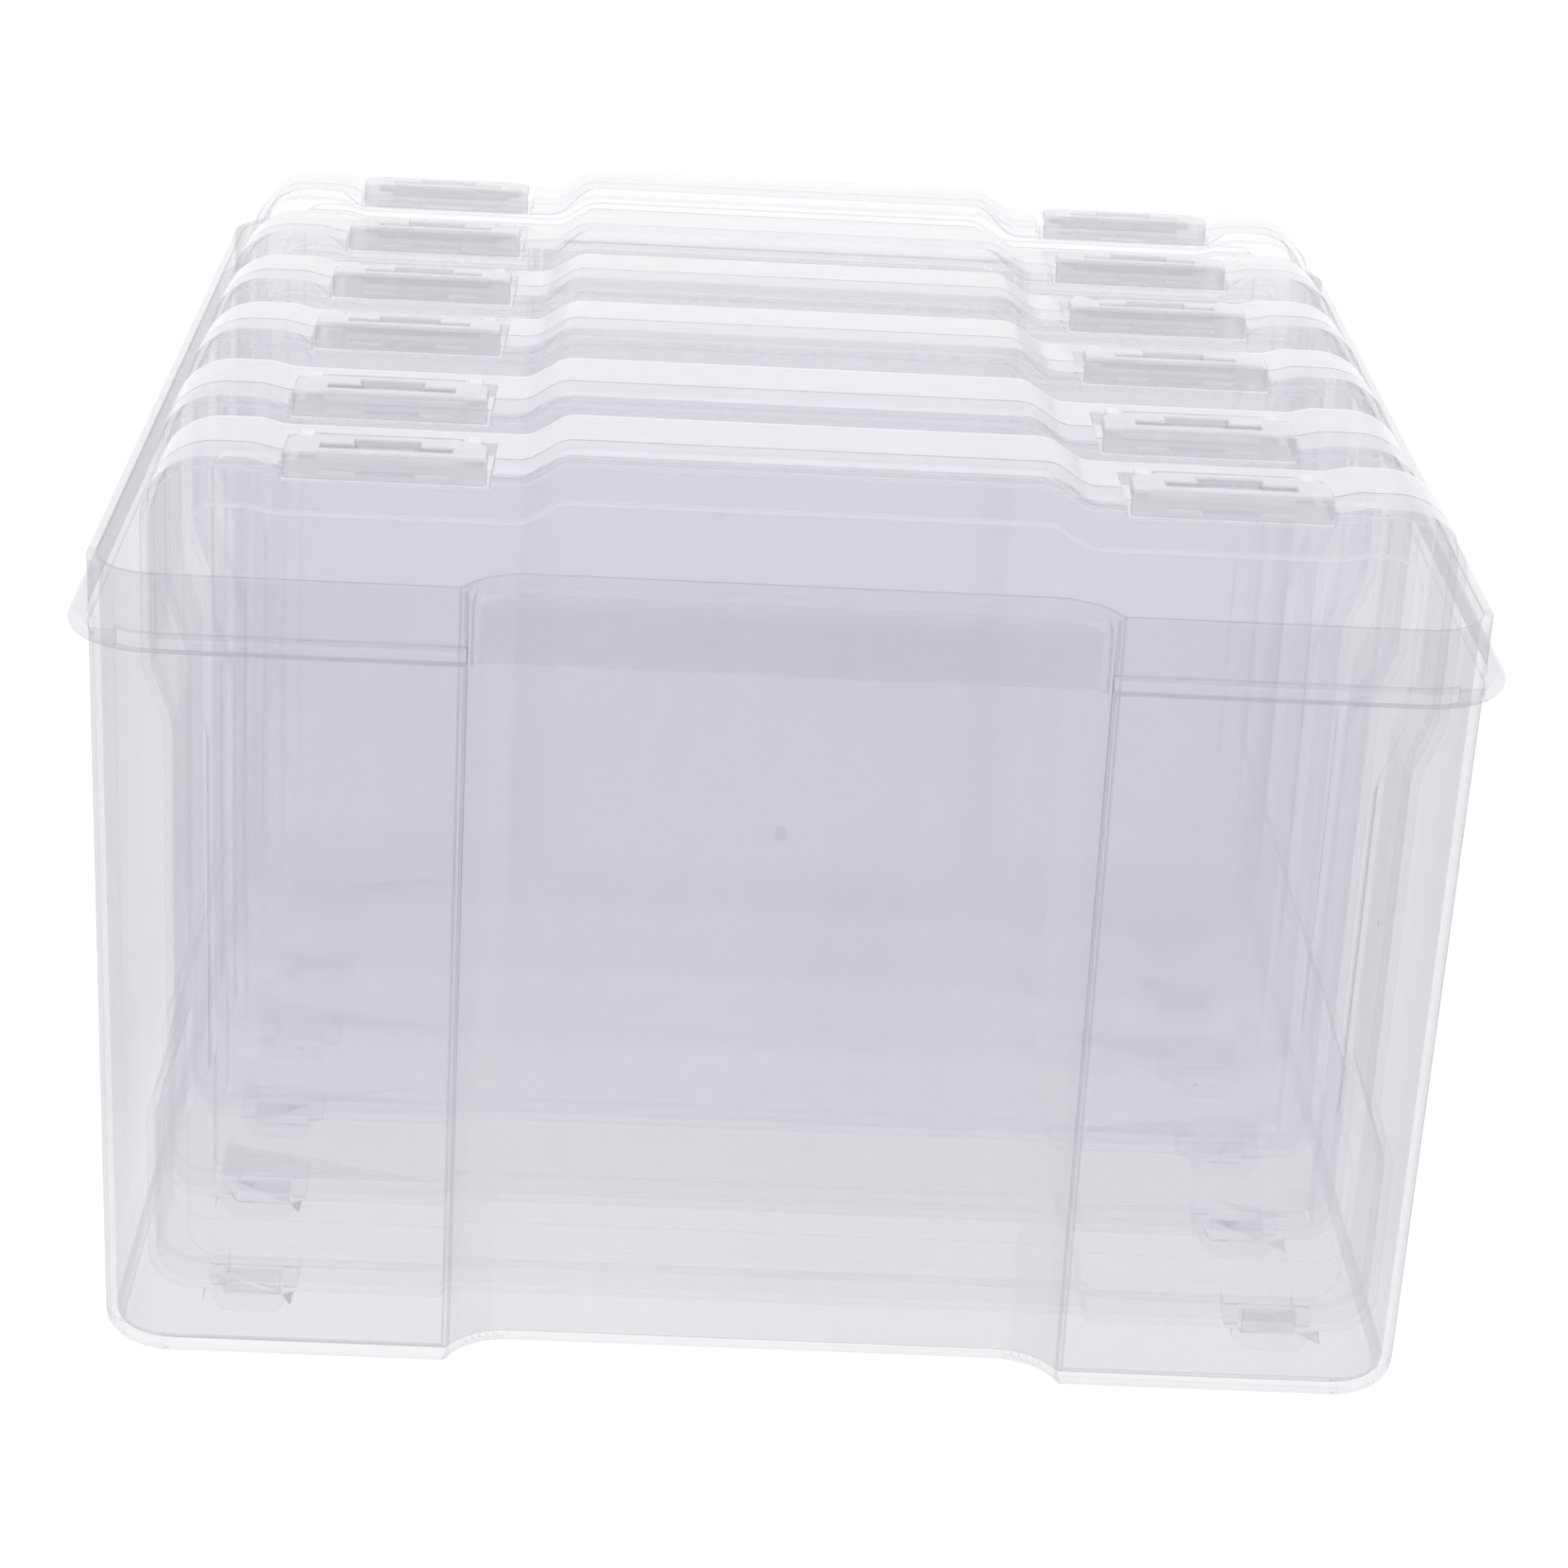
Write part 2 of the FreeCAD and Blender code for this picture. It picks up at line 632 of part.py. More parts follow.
def add_hinge_pin(body, name, centre):
    """Add the pin under the tray and the two ears that carry it."""
    for end, start in (("left", " - hinge_ear_offset - hinge_ear_width"), ("right", " + hinge_ear_offset")):
        ear = "%s_hinge_%s_ear" % (name, end)
        height = "2 * knuckle_radius + knuckle_gap + overlap"
        block(body, ear, "Additive", ("hinge_ear_width", "hinge_ear_depth - knuckle_gap", height),
              (centre + start, "knuckle_gap", "hinge_height - knuckle_radius"))
        rod(body, ear + "_round", "Additive", "knuckle_radius", "hinge_ear_width",
            (centre + start, "0", "hinge_height"))
    reach = "hinge_ear_offset + hinge_ear_width"
    rod(body, name + "_hinge_pin", "Additive", "hinge_pin_radius", "2 * ( %s )" % reach,
        ("%s - ( %s )" % (centre, reach), "0", "hinge_height"))


def make_latch():
    """Make one snap latch: a slotted plate with a front lip, on a barrel with two pivot pins."""
    body = document.addObject("PartDesign::Body", "case_latch")
    front = "-lid_depth"
    plan = [("-latch_width / 2", front), ("latch_width / 2", front),
            ("latch_width / 2", front + " + latch_reach"), ("-latch_width / 2", front + " + latch_reach")]
    plate_outline = outline(body, "plate_outline", "XY_Plane", [plan], "latch_top - latch_plate")
    plate = raised(body, "plate", plate_outline, "latch_plate")
    spots = sketch_spots(plate_outline, PLATE_BACK_CORNERS, size("latch_plate") / 2)
    rounded(body, "plate_corner_rounds", plate, edges_at(plate, spots), "latch_corner_radius")
    lip_foot = "seat_height + latch_lip_clearance"
    block(body, "lip", "Additive", ("latch_width", "latch_lip", "latch_top - ( %s )" % lip_foot),
          ("-latch_width / 2", front, lip_foot))
    document.recompute()
    lip = body.Tip
    top_front = FreeCAD.Vector(0, -size("lid_depth"), size("latch_top"))
    rounded(body, "lip_round", lip, edges_at(lip, [top_front]), "latch_edge_radius")
    back = front + " + latch_reach"
    neck = [(back + " - latch_plate", "latch_top"), (back, "latch_top"),
            ("pivot_setback", "pivot_height + barrel_radius"), ("pivot_setback", "pivot_height"),
            (back, "latch_top - latch_plate"), (back + " - latch_plate", "latch_top - latch_plate")]
    profile = outline(body, "neck_profile", "YZ_Plane", [neck])
    raised(body, "neck", profile, "barrel_width", middle=True)
    rod(body, "barrel", "Additive", "barrel_radius", "barrel_width",
        ("-barrel_width / 2", "pivot_setback", "pivot_height"))
    rod(body, "pivot_pins", "Additive", "pivot_pin_radius", "barrel_width + 2 * pivot_pin_reach",
        ("-barrel_width / 2 - pivot_pin_reach", "pivot_setback", "pivot_height"))
    slot_y = front + " + slot_setback"
    block(body, "slot", "Subtractive", ("slot_width", "slot_depth", "latch_plate + 2 * overlap"),
          ("-slot_width / 2", slot_y, "latch_top - latch_plate - overlap"))
    block(body, "slot_bulge", "Subtractive",
          ("slot_bulge_width", "slot_depth + slot_bulge_depth", "latch_plate + 2 * overlap"),
          ("-slot_bulge_width / 2", slot_y, "latch_top - latch_plate - overlap"))
    document.recompute()
    return body


# The six cases in the tub

def stand(number):
    """Return the formulas for a case's sideways place, seam, standing height and backward lean."""
    shift = "front_shift" if number == 1 else "0"
    if number <= UPRIGHT_COUNT:
        return shift, "first_seam + %d * upright_pitch" % (number - 1), "stand_height + lug_height", "0"
    steps = number - UPRIGHT_COUNT - 1
    lean = "( lean_first + %d * lean_step )" % steps
    seam = "first_seam + %d * upright_pitch + lean_start + %d * lean_pitch" % (UPRIGHT_COUNT - 1, steps)
    height = "stand_height + lug_height * cos%s + hinge_ear_depth * sin%s" % (lean, lean)
    return shift, seam, height, "-" + lean


def copy_of(form, label, number, x="0"):
    """Place a copy of a finished form in one of the six cases."""
    copy = document.addObject("Part::Compound", label)
    copy.Links = [form]
    # The quarter turn sets the axis, and the lean then takes the place of its angle.
    copy.Placement = FreeCAD.Placement(
        FreeCAD.Vector(), FreeCAD.Rotation(FreeCAD.Vector(1, 0, 0), QUARTER_TURN))
    shift, seam, height, lean = stand(number)
    place(copy, x + " + " + shift, seam, height)
    bind(copy, "Placement.Rotation.Angle", lean)
    return copy


def make_parts():
    """Make the tub, the three case forms and their copies, and return the sub-parts."""
    tub = make_tub()
    lid = make_lid()
    tray = make_tray()
    latch = make_latch()
    parts = [tub]
    for number in range(1, CASE_COUNT + 1):
        name = "case_%d" % number
        parts.append(copy_of(tray, name + "_tray", number))
        parts.append(copy_of(lid, name + "_lid", number))
        parts.append(copy_of(latch, name + "_latch_left", number, "-latch_spacing / 2"))
        parts.append(copy_of(latch, name + "_latch_right", number, "latch_spacing / 2"))
    document.recompute()
    return parts


def check_document(parts):
    """Stop if any object failed, or if any sub-part has no sound shape."""
    for item in document.Objects:
        if "Invalid" in item.State or "Error" in item.State:
            raise RuntimeError("%s did not rebuild: %s" % (item.Label, item.State))
    for part in parts:
        if part.Shape.isNull() or not part.Shape.isValid():
            raise RuntimeError(part.Label + " has no valid shape")
        if len(part.Shape.Solids) != 1:
            raise RuntimeError("%s has %d solids" % (part.Label, len(part.Shape.Solids)))


def write_parts(parts):
    """Write each sub-part to its own file."""
    os.makedirs(OUTPUT_FOLDER, exist_ok=True)
    for part in parts:
        part.Shape.exportStep(os.path.join(OUTPUT_FOLDER, part.Label + ".step"))
        print("%s %.1f mm3" % (part.Label, part.Shape.Volume))


finished = make_parts()
check_document(finished)
write_parts(finished)
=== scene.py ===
"""Looks of a clear tub that holds six latched storage cases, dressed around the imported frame."""

import json
import logging
import math
from collections.abc import Callable
from dataclasses import dataclass
from enum import Enum

import bmesh
import bpy
from mathutils import Matrix, Vector

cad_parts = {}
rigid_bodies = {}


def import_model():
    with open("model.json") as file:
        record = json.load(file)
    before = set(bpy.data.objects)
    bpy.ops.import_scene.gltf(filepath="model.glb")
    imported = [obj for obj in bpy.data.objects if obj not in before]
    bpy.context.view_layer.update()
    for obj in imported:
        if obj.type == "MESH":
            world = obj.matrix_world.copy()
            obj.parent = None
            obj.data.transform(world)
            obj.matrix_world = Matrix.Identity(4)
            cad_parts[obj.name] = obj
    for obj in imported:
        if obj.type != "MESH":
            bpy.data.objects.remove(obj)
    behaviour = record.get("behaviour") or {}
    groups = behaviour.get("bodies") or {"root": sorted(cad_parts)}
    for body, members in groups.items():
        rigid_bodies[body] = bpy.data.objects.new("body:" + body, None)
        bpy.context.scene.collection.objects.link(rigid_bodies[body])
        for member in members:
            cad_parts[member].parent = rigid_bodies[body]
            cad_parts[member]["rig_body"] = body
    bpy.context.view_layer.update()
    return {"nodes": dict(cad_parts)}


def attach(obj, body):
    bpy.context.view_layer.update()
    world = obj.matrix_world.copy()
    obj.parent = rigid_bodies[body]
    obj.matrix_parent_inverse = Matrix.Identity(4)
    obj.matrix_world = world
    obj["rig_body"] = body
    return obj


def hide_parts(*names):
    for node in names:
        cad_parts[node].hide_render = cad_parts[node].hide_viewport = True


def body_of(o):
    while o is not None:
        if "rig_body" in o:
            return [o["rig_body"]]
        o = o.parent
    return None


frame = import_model()

LOG = logging.getLogger("storage_box")
MM = 0.001
QUARTER_TURN = math.pi / 2

Socket = bpy.types.NodeSocket
Colour = tuple[float, float, float]
WHITE: Colour = (1.0, 1.0, 1.0)
BLACK: Colour = (0.0, 0.0, 0.0)

# A tone is a number on each face that paints light: above 0 painted shade makes the spot darker than the
# open wall, below 0 a painted highlight makes it lighter.
PAINTED_LIGHT_TONE = "edge_tone"
PaintedLightRule = Callable[[Vector, Vector, float], float]

# A face that belongs to a tight round by less than this share counts as open wall.
OPEN_SHARE = 0.05


class Side(Enum):
    """The two sides of a middle plane, as the sign of the distance from it."""

    LEFT = -1
    RIGHT = 1


class RecordSlot(Enum):
    """The record's material slots, by the piece that each belongs to."""

    TUB = "tub_plastic"
    CASE = "case_plastic"
    LATCH = "latch_plastic"


class NodeBench:
    """Lays out shader nodes in one node tree and wires them together."""

    # Places of a Mix node's colour sockets, whose names its number sockets share.
    MIX_FIRST = 6
    MIX_SECOND = 7
    MIX_RESULT = 2

    def __init__(self, tree: bpy.types.NodeTree) -> None:
        """Start on a tree.

        Args:
            tree: The material's, world's or group's node tree.
        """
        self.tree = tree

    def add(self, kind: str, **settings: object) -> bpy.types.Node:
        """Place one node.

        Args:
            kind: The node's type name.
            settings: Properties of the node to set.

        Returns:
            The new node.
        """
        node = self.tree.nodes.new(kind)
        for name, value in settings.items():
            setattr(node, name, value)
        return node

    def feed(self, socket: Socket, source: object) -> None:
        """Give an input socket a link or a constant.

        Args:
            socket: The input socket.
            source: An output socket, a number or a colour.
        """
        if isinstance(source, Socket):
            self.tree.links.new(source, socket)
        else:
            socket.default_value = source

    def sum_up(self, operation: str, *values: object) -> Socket:
        """Work out one number from others.

        Args:
            operation: The Math node's operation.
            values: Its inputs, each a socket or a number.

        Returns:
            The result's socket.
        """
        node = self.add("ShaderNodeMath", operation=operation)
        for socket, value in zip(node.inputs, values):
            self.feed(socket, value)
        return node.outputs[0]

    def spread(self, value: Socket, low: float, high: float, start: float, end: float) -> Socket:
        """Map a number from one range to another and hold it there.

        Args:
            value: The number's socket.
            low: Bottom of the range that it comes in.
            high: Top of the range that it comes in.
            start: Result at the bottom.
            end: Result at the top.

        Returns:
            The result's socket.
        """
        node = self.add("ShaderNodeMapRange", clamp=True)
        for socket, entry in zip(node.inputs, (value, low, high, start, end)):
            self.feed(socket, entry)
        return node.outputs["Result"]

    def blend(self, share: object, first: object, second: object) -> Socket:
        """Mix two colours.

        Args:
            share: How much of the second colour shows.
            first: The first colour.
            second: The second colour.

        Returns:
            The mixed colour's socket.
        """
        node = self.add("ShaderNodeMix", data_type="RGBA")
        self.feed(node.inputs["Factor"], share)
        self.feed(node.inputs[self.MIX_FIRST], first)
        self.feed(node.inputs[self.MIX_SECOND], second)
        return node.outputs[self.MIX_RESULT]

    def noise(self, place: Socket, scale: object, detail: float) -> Socket:
        """Add cloudy noise.

        Args:
            place: Socket with the coordinates.
            scale: Clouds per metre, a socket or a number.
            detail: Octaves of finer noise.

        Returns:
            The noise value's socket.
        """
        node = self.add("ShaderNodeTexNoise")
        self.feed(node.inputs["Vector"], place)
        self.feed(node.inputs["Scale"], scale)
        self.feed(node.inputs["Detail"], detail)
        return node.outputs["Fac"]


def opaque(colour: Colour) -> tuple[float, float, float, float]:
    """Return a colour with full alpha, as colour sockets take it."""
    return (*colour, 1.0)


def hold(value: float, low: float, high: float) -> float:
    """Return how far a value lies from low to high, held between 0 and 1."""
    return min(max((value - low) / (high - low), 0.0), 1.0)


@dataclass
class MouldedPlasticEffects:
    """Shader groups that every clear moulding shares: cooling haze with flow lines, and dust specks."""

    cloud_scale: float = 26.0
    cloud_detail: float = 1.0
    cloud_range: tuple[float, float] = (0.3, 0.7)
    streak_scale: float = 240.0
    streak_detail: float = 0.0
    streak_range: tuple[float, float] = (0.32, 0.68)
    streak_stretch: tuple[float, float, float] = (1.0, 1.0, 0.03)
    speck_scale: float = 60.0
    speck_share: float = 0.06
    speck_size: float = 0.028
    speck_growth: tuple[float, float] = (0.5, 1.5)

    def __post_init__(self) -> None:
        """Build both groups once."""
        self.haze = self.build_haze()
        self.specks = self.build_specks()

    @staticmethod
    def new_group(
            name: str, inputs: dict[str, float], outputs: list[str],
    ) -> tuple[NodeBench, bpy.types.NodeOutputs, bpy.types.NodeInputs]:
        """Start a group that reads a place on the piece.

        Args:
            name: The group's name.
            inputs: Number inputs with their usual values.
            outputs: Number outputs.

        Returns:
            The bench, the sockets that come into the group and the sockets that leave it.
        """
        tree = bpy.data.node_groups.new(name, "ShaderNodeTree")
        tree.interface.new_socket("Place", in_out="INPUT", socket_type="NodeSocketVector")
        for label, value in inputs.items():
            socket = tree.interface.new_socket(label, in_out="INPUT", socket_type="NodeSocketFloat")
            socket.default_value = value
        for label in outputs:
            tree.interface.new_socket(label, in_out="OUTPUT", socket_type="NodeSocketFloat")
        bench = NodeBench(tree)
        entry = bench.add("NodeGroupInput")
        leave = bench.add("NodeGroupOutput")
        return bench, entry.outputs, leave.inputs

    def build_haze(self) -> bpy.types.NodeTree:
        """Build the haze that slow cooling leaves in a clear moulding.

        Returns:
            The group, with outputs Cloud and Streak from 0 to 1.
        """
        inputs = {"Cloud Scale": self.cloud_scale, "Streak Scale": self.streak_scale}
        bench, entry, leave = self.new_group("cooling_haze", inputs, ["Cloud", "Streak"])
        cloud = bench.noise(entry["Place"], entry["Cloud Scale"], self.cloud_detail)
        bench.feed(leave["Cloud"], bench.spread(cloud, *self.cloud_range, 0.0, 1.0))
        stretched = bench.add("ShaderNodeMapping")
        bench.feed(stretched.inputs["Vector"], entry["Place"])
        bench.feed(stretched.inputs["Scale"], self.streak_stretch)
        streak = bench.noise(stretched.outputs["Vector"], entry["Streak Scale"], self.streak_detail)
        bench.feed(leave["Streak"], bench.spread(streak, *self.streak_range, 0.0, 1.0))
        return bench.tree

    def build_specks(self) -> bpy.types.NodeTree:
        """Build the few dark specks and dust grains that sit in the plastic.

        Returns:
            The group, with one output Speck from 0 to 1.
        """
        inputs = {"Spacing Scale": self.speck_scale, "Share": self.speck_share, "Size": self.speck_size}
        bench, entry, leave = self.new_group("dust_specks", inputs, ["Speck"])
        cells = bench.add("ShaderNodeTexVoronoi", feature="F1")
        bench.feed(cells.inputs["Vector"], entry["Place"])
        bench.feed(cells.inputs["Scale"], entry["Spacing Scale"])
        parts = bench.add("ShaderNodeSeparateColor")
        bench.feed(parts.inputs["Color"], cells.outputs["Color"])
        chosen = bench.sum_up("LESS_THAN", parts.outputs["Red"], entry["Share"])
        growth = bench.spread(parts.outputs["Green"], 0.0, 1.0, *self.speck_growth)
        sized = bench.sum_up("MULTIPLY", entry["Size"], growth)
        near = bench.sum_up("LESS_THAN", cells.outputs["Distance"], sized)
        bench.feed(leave["Speck"], bench.sum_up("MULTIPLY", chosen, near))
        return bench.tree


@dataclass(frozen=True)
class ClearPlastic:
    """Look of one kind of clear moulding, milky where its walls are seen on edge, with painted shade and
    painted highlights.

    A cover is the share of what lies behind the wall that the wall hides. The dark tone values paint shade
    along edges, seams and corners, the light tone values paint highlights on tops and rounds, and the slant
    values belong to walls that are seen at a low angle, where a lighter slant tint is milky haze together
    with a painted reflection of the bright sky.
    """

    name: str
    tint: Colour
    cloud_tint: Colour
    painted_shade_tint: Colour
    painted_highlight_tint: Colour
    cover: float
    cloud_cover: float
    painted_shade_cover: float
    painted_highlight_cover: float
    slant_cover: float
    slant_power: float
    slant_tint: Colour
    gloss_roughness: float
    streak_roughness: float
    passing: Colour
    both_faces: bool = False
    slant_blend: float = 0.5
    bump: float = 0.012
    bump_depth: float = 0.4 * MM
    ior: float = 1.49
    speck_share: float = 0.0
    speck_tint: Colour = (0.10, 0.09, 0.09)

    def mix_tones(self, bench: NodeBench, haze: bpy.types.Node) -> tuple[Socket, Socket]:
        """Mix the wall's colour and its cover, with the painted shade and painted highlights of each face's
        tone.

        Args:
            bench: The material's bench.
            haze: The haze group on it.

        Returns:
            The colour's socket and the cover's socket.
        """
        cloud = haze.outputs["Cloud"]
        # The face's tone paints shade where it is above 0, the rim mask, and highlights where it is below
        # 0.
        tone = bench.add("ShaderNodeAttribute", attribute_name=PAINTED_LIGHT_TONE).outputs["Fac"]
        rim = bench.sum_up("MAXIMUM", tone, 0.0)
        painted_highlight = bench.sum_up("MAXIMUM", bench.sum_up("MULTIPLY", tone, -1.0), 0.0)
        # Walls seen at a low angle hide more and take the slant tint: milky haze, and where that tint is
        # lighter, a painted reflection of the bright sky.
        turned = bench.add("ShaderNodeLayerWeight")
        bench.feed(turned.inputs["Blend"], self.slant_blend)
        slant = bench.sum_up("POWER", turned.outputs["Facing"], self.slant_power)

        hazed = bench.blend(cloud, opaque(self.tint), opaque(self.cloud_tint))
        body = bench.blend(slant, hazed, opaque(self.slant_tint))
        with_painted_shade = bench.blend(rim, body, opaque(self.painted_shade_tint))
        colour = bench.blend(painted_highlight, with_painted_shade, opaque(self.painted_highlight_tint))

        layers = (
            (cloud, self.cloud_cover),
            (haze.outputs["Streak"], self.cloud_cover),
            (rim, self.painted_shade_cover),
            (painted_highlight, self.painted_highlight_cover),
            (slant, self.slant_cover),
        )
        cover = self.cover
        for mask, share in layers:
            cover = bench.sum_up("MULTIPLY_ADD", mask, share, cover)
        return colour, bench.sum_up("MINIMUM", cover, 1.0)

    def make_gloss(self, bench: NodeBench, streak: Socket) -> bpy.types.Node:
        """Make the wall's shader, a little rougher and wavier along the flow lines.

        Args:
            bench: The material's bench.
            streak: The flow lines.

        Returns:
            The shader node, still without colour and cover.
        """
        bump = bench.add("ShaderNodeBump")
        bench.feed(bump.inputs["Strength"], self.bump)
        bench.feed(bump.inputs["Distance"], self.bump_depth)
        bench.feed(bump.inputs["Height"], streak)
        shader = bench.add("ShaderNodeBsdfPrincipled")
        rough = bench.spread(streak, 0.0, 1.0, self.gloss_roughness, self.streak_roughness)
        bench.feed(shader.inputs["Roughness"], rough)
        bench.feed(shader.inputs["Normal"], bump.outputs["Normal"])
        bench.feed(shader.inputs["IOR"], self.ior)
        return shader

    def let_through(self, bench: NodeBench, shader: bpy.types.Node) -> Socket:
        """Make the wall clear for shadows and, unless both faces show, from its inside.

        Args:
            bench: The material's bench.
            shader: The wall's shader node.

        Returns:
            The socket of the finished surface.
        """
        through = bench.add("ShaderNodeBsdfTransparent")
        bench.feed(through.inputs["Color"], opaque(self.passing))
        clear = bench.add("ShaderNodeLightPath").outputs["Is Shadow Ray"]
        if not self.both_faces:
            inside = bench.add("ShaderNodeNewGeometry").outputs["Backfacing"]
            clear = bench.sum_up("MAXIMUM", clear, inside)
        split = bench.add("ShaderNodeMixShader")
        bench.feed(split.inputs["Fac"], clear)
        bench.feed(split.inputs[1], shader.outputs["BSDF"])
        bench.feed(split.inputs[2], through.outputs["BSDF"])
        return split.outputs["Shader"]

    def build(self, effects: MouldedPlasticEffects) -> bpy.types.Material:
        """Make the material.

        Args:
            effects: The shader groups that the mouldings share.

        Returns:
            The finished material.
        """
        material = bpy.data.materials.new(self.name)
        material.use_nodes = True
        material.node_tree.nodes.clear()
        bench = NodeBench(material.node_tree)
        place = bench.add("ShaderNodeTexCoord").outputs["Object"]
        haze = bench.add("ShaderNodeGroup", node_tree=effects.haze)
        bench.feed(haze.inputs["Place"], place)
        colour, cover = self.mix_tones(bench, haze)
        if self.speck_share > 0.0:
            specks = bench.add("ShaderNodeGroup", node_tree=effects.specks)
            bench.feed(specks.inputs["Place"], place)
            bench.feed(specks.inputs["Share"], self.speck_share)
            colour = bench.blend(specks.outputs["Speck"], colour, opaque(self.speck_tint))
            cover = bench.sum_up("MAXIMUM", cover, specks.outputs["Speck"])
        shader = self.make_gloss(bench, haze.outputs["Streak"])
        bench.feed(shader.inputs["Base Color"], colour)
        bench.feed(shader.inputs["Alpha"], cover)
        surface = self.let_through(bench, shader)
        leave = bench.add("ShaderNodeOutputMaterial")
        bench.feed(leave.inputs["Surface"], surface)
        return material


# Each plastic has its own haze and gloss, and paints shade and highlights from the faces' tones.
TUB_PLASTIC_AND_PAINTED_LIGHT = ClearPlastic(
    name="clear_tub_moulding",
    tint=(0.29, 0.29, 0.35),
    cloud_tint=(0.26, 0.26, 0.32),
    painted_shade_tint=(0.12, 0.12, 0.14),
    painted_highlight_tint=(0.92, 0.92, 0.93),
    cover=0.068,
    cloud_cover=0.006,
    painted_shade_cover=0.26,
    painted_highlight_cover=0.25,
    slant_cover=0.26,
    slant_power=1.5,
    slant_tint=(0.57, 0.57, 0.63),
    gloss_roughness=0.14,
    streak_roughness=0.18,
    passing=(0.982, 0.982, 0.984),
    both_faces=True,
    speck_share=0.05,
)
CASE_PLASTIC_AND_PAINTED_LIGHT = ClearPlastic(
    name="clear_case_moulding",
    tint=(0.63, 0.63, 0.69),
    cloud_tint=(0.61, 0.61, 0.67),
    painted_shade_tint=(0.36, 0.36, 0.39),
    painted_highlight_tint=(0.77, 0.77, 0.79),
    cover=0.115,
    cloud_cover=0.01,
    painted_shade_cover=0.26,
    painted_highlight_cover=0.50,
    slant_cover=0.70,
    slant_power=5.0,
    slant_tint=(0.66, 0.66, 0.72),
    gloss_roughness=0.22,
    streak_roughness=0.26,
    passing=(0.99, 0.99, 0.992),
)
LATCH_PLASTIC_AND_PAINTED_LIGHT = ClearPlastic(
    name="clear_latch_moulding",
    tint=(0.50, 0.50, 0.54),
    cloud_tint=(0.48, 0.48, 0.52),
    painted_shade_tint=(0.36, 0.36, 0.39),
    painted_highlight_tint=(0.82, 0.82, 0.83),
    cover=0.42,
    cloud_cover=0.02,
    painted_shade_cover=0.22,
    painted_highlight_cover=0.40,
    slant_cover=0.3,
    slant_power=2.0,
    slant_tint=(0.50, 0.50, 0.54),
    gloss_roughness=0.2,
    streak_roughness=0.26,
    passing=(0.985, 0.985, 0.988),
)


def finish_mesh(mesh: bmesh.types.BMesh, name: str, material: bpy.types.Material) -> bpy.types.Object:
    """Turn a built mesh into a piece of the scene.

    Args:
        mesh: The built mesh, which is used up.
        name: The piece's name.
        material: Its finish.

    Returns:
        The new object, at the origin.
    """
    data = bpy.data.meshes.new(name)
    mesh.to_mesh(data)
    mesh.free()
    data.materials.append(material)
    piece = bpy.data.objects.new(name, data)
    # Bounced light passes a clear piece, so it doesn't darken what stands around it.
    piece.visible_diffuse = False
    bpy.context.scene.collection.objects.link(piece)
    return piece


@dataclass
class MouldingWithPaintedLight:
    """A CAD piece as it leaves the mould: the same shape, with its sharp edges broken, and a tone of
    painted shade or painted highlight on each face.
    """

    node: str
    slot: RecordSlot
    edge_break: float = 0.28 * MM
    break_steps: int = 2
    weld: float = 0.002 * MM
    flat_turn: float = math.radians(0.5)
    sharp_turn: float = math.radians(35.0)
    tight_round: float = 1.7 * MM
    open_round: float = 3.6 * MM
    least_area: float = 1e-12
    normal_weight: int = 80

    def build(self, material: bpy.types.Material, tone: PaintedLightRule, cuts: list[Matrix]) -> None:
        """Make the piece that stands for the CAD node.

        Args:
            material: Its plastic, which paints the faces' tones.
            tone: Gives a spot's tone of painted light, from its place, its direction and its share of a
                tight round.
            cuts: Planes along which wide faces are parted, so that a strip can have its own tone of painted
                light.
        """
        cad = frame["nodes"][self.node]
        mesh = bmesh.new()
        mesh.from_mesh(cad.data)
        bmesh.ops.remove_doubles(mesh, verts=mesh.verts, dist=self.weld)
        bmesh.ops.dissolve_limit(mesh, angle_limit=self.flat_turn, verts=mesh.verts, edges=mesh.edges)
        sharp = [edge for edge in mesh.edges if edge.calc_face_angle(0.0) > self.sharp_turn]
        bmesh.ops.bevel(
            mesh, geom=sharp, offset=self.edge_break, offset_type="OFFSET", affect="EDGES",
            segments=self.break_steps, profile=0.5, material=-1, clamp_overlap=False)
        for plane in cuts:
            everything = [*mesh.verts, *mesh.edges, *mesh.faces]
            bmesh.ops.bisect_plane(
                mesh, geom=everything, dist=self.weld,
                plane_co=plane.translation, plane_no=plane.col[2].xyz)
        layer = mesh.faces.layers.float.new(PAINTED_LIGHT_TONE)
        for face in mesh.faces:
            face.smooth = True
            face[layer] = tone(face.calc_center_median(), face.normal, self.edge_share(face))
        piece = finish_mesh(mesh, f"{self.node}_moulding", material)
        piece.modifiers.new("even_normals", "WEIGHTED_NORMAL").weight = self.normal_weight
        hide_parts(self.node)
        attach(piece, body_of(cad)[0])
        LOG.info("finished %s", self.node)

    def edge_share(self, face: bmesh.types.BMFace) -> float:
        """Tell how far a face belongs to a tight round.

        Args:
            face: A face of the broken mesh.

        Returns:
            0 on open faces and wide rounds, up to 1 on tight ones.
        """
        # A triangle is half of one step of a round, a face of four corners is the whole step.
        part = 2.0 if len(face.verts) == 3 else 1.0
        turn = max(edge.calc_face_angle(0.0) * edge.calc_length() for edge in face.edges)
        bend = turn / max(face.calc_area() * part, self.least_area)
        return hold(bend, 1.0 / self.open_round, 1.0 / self.tight_round)


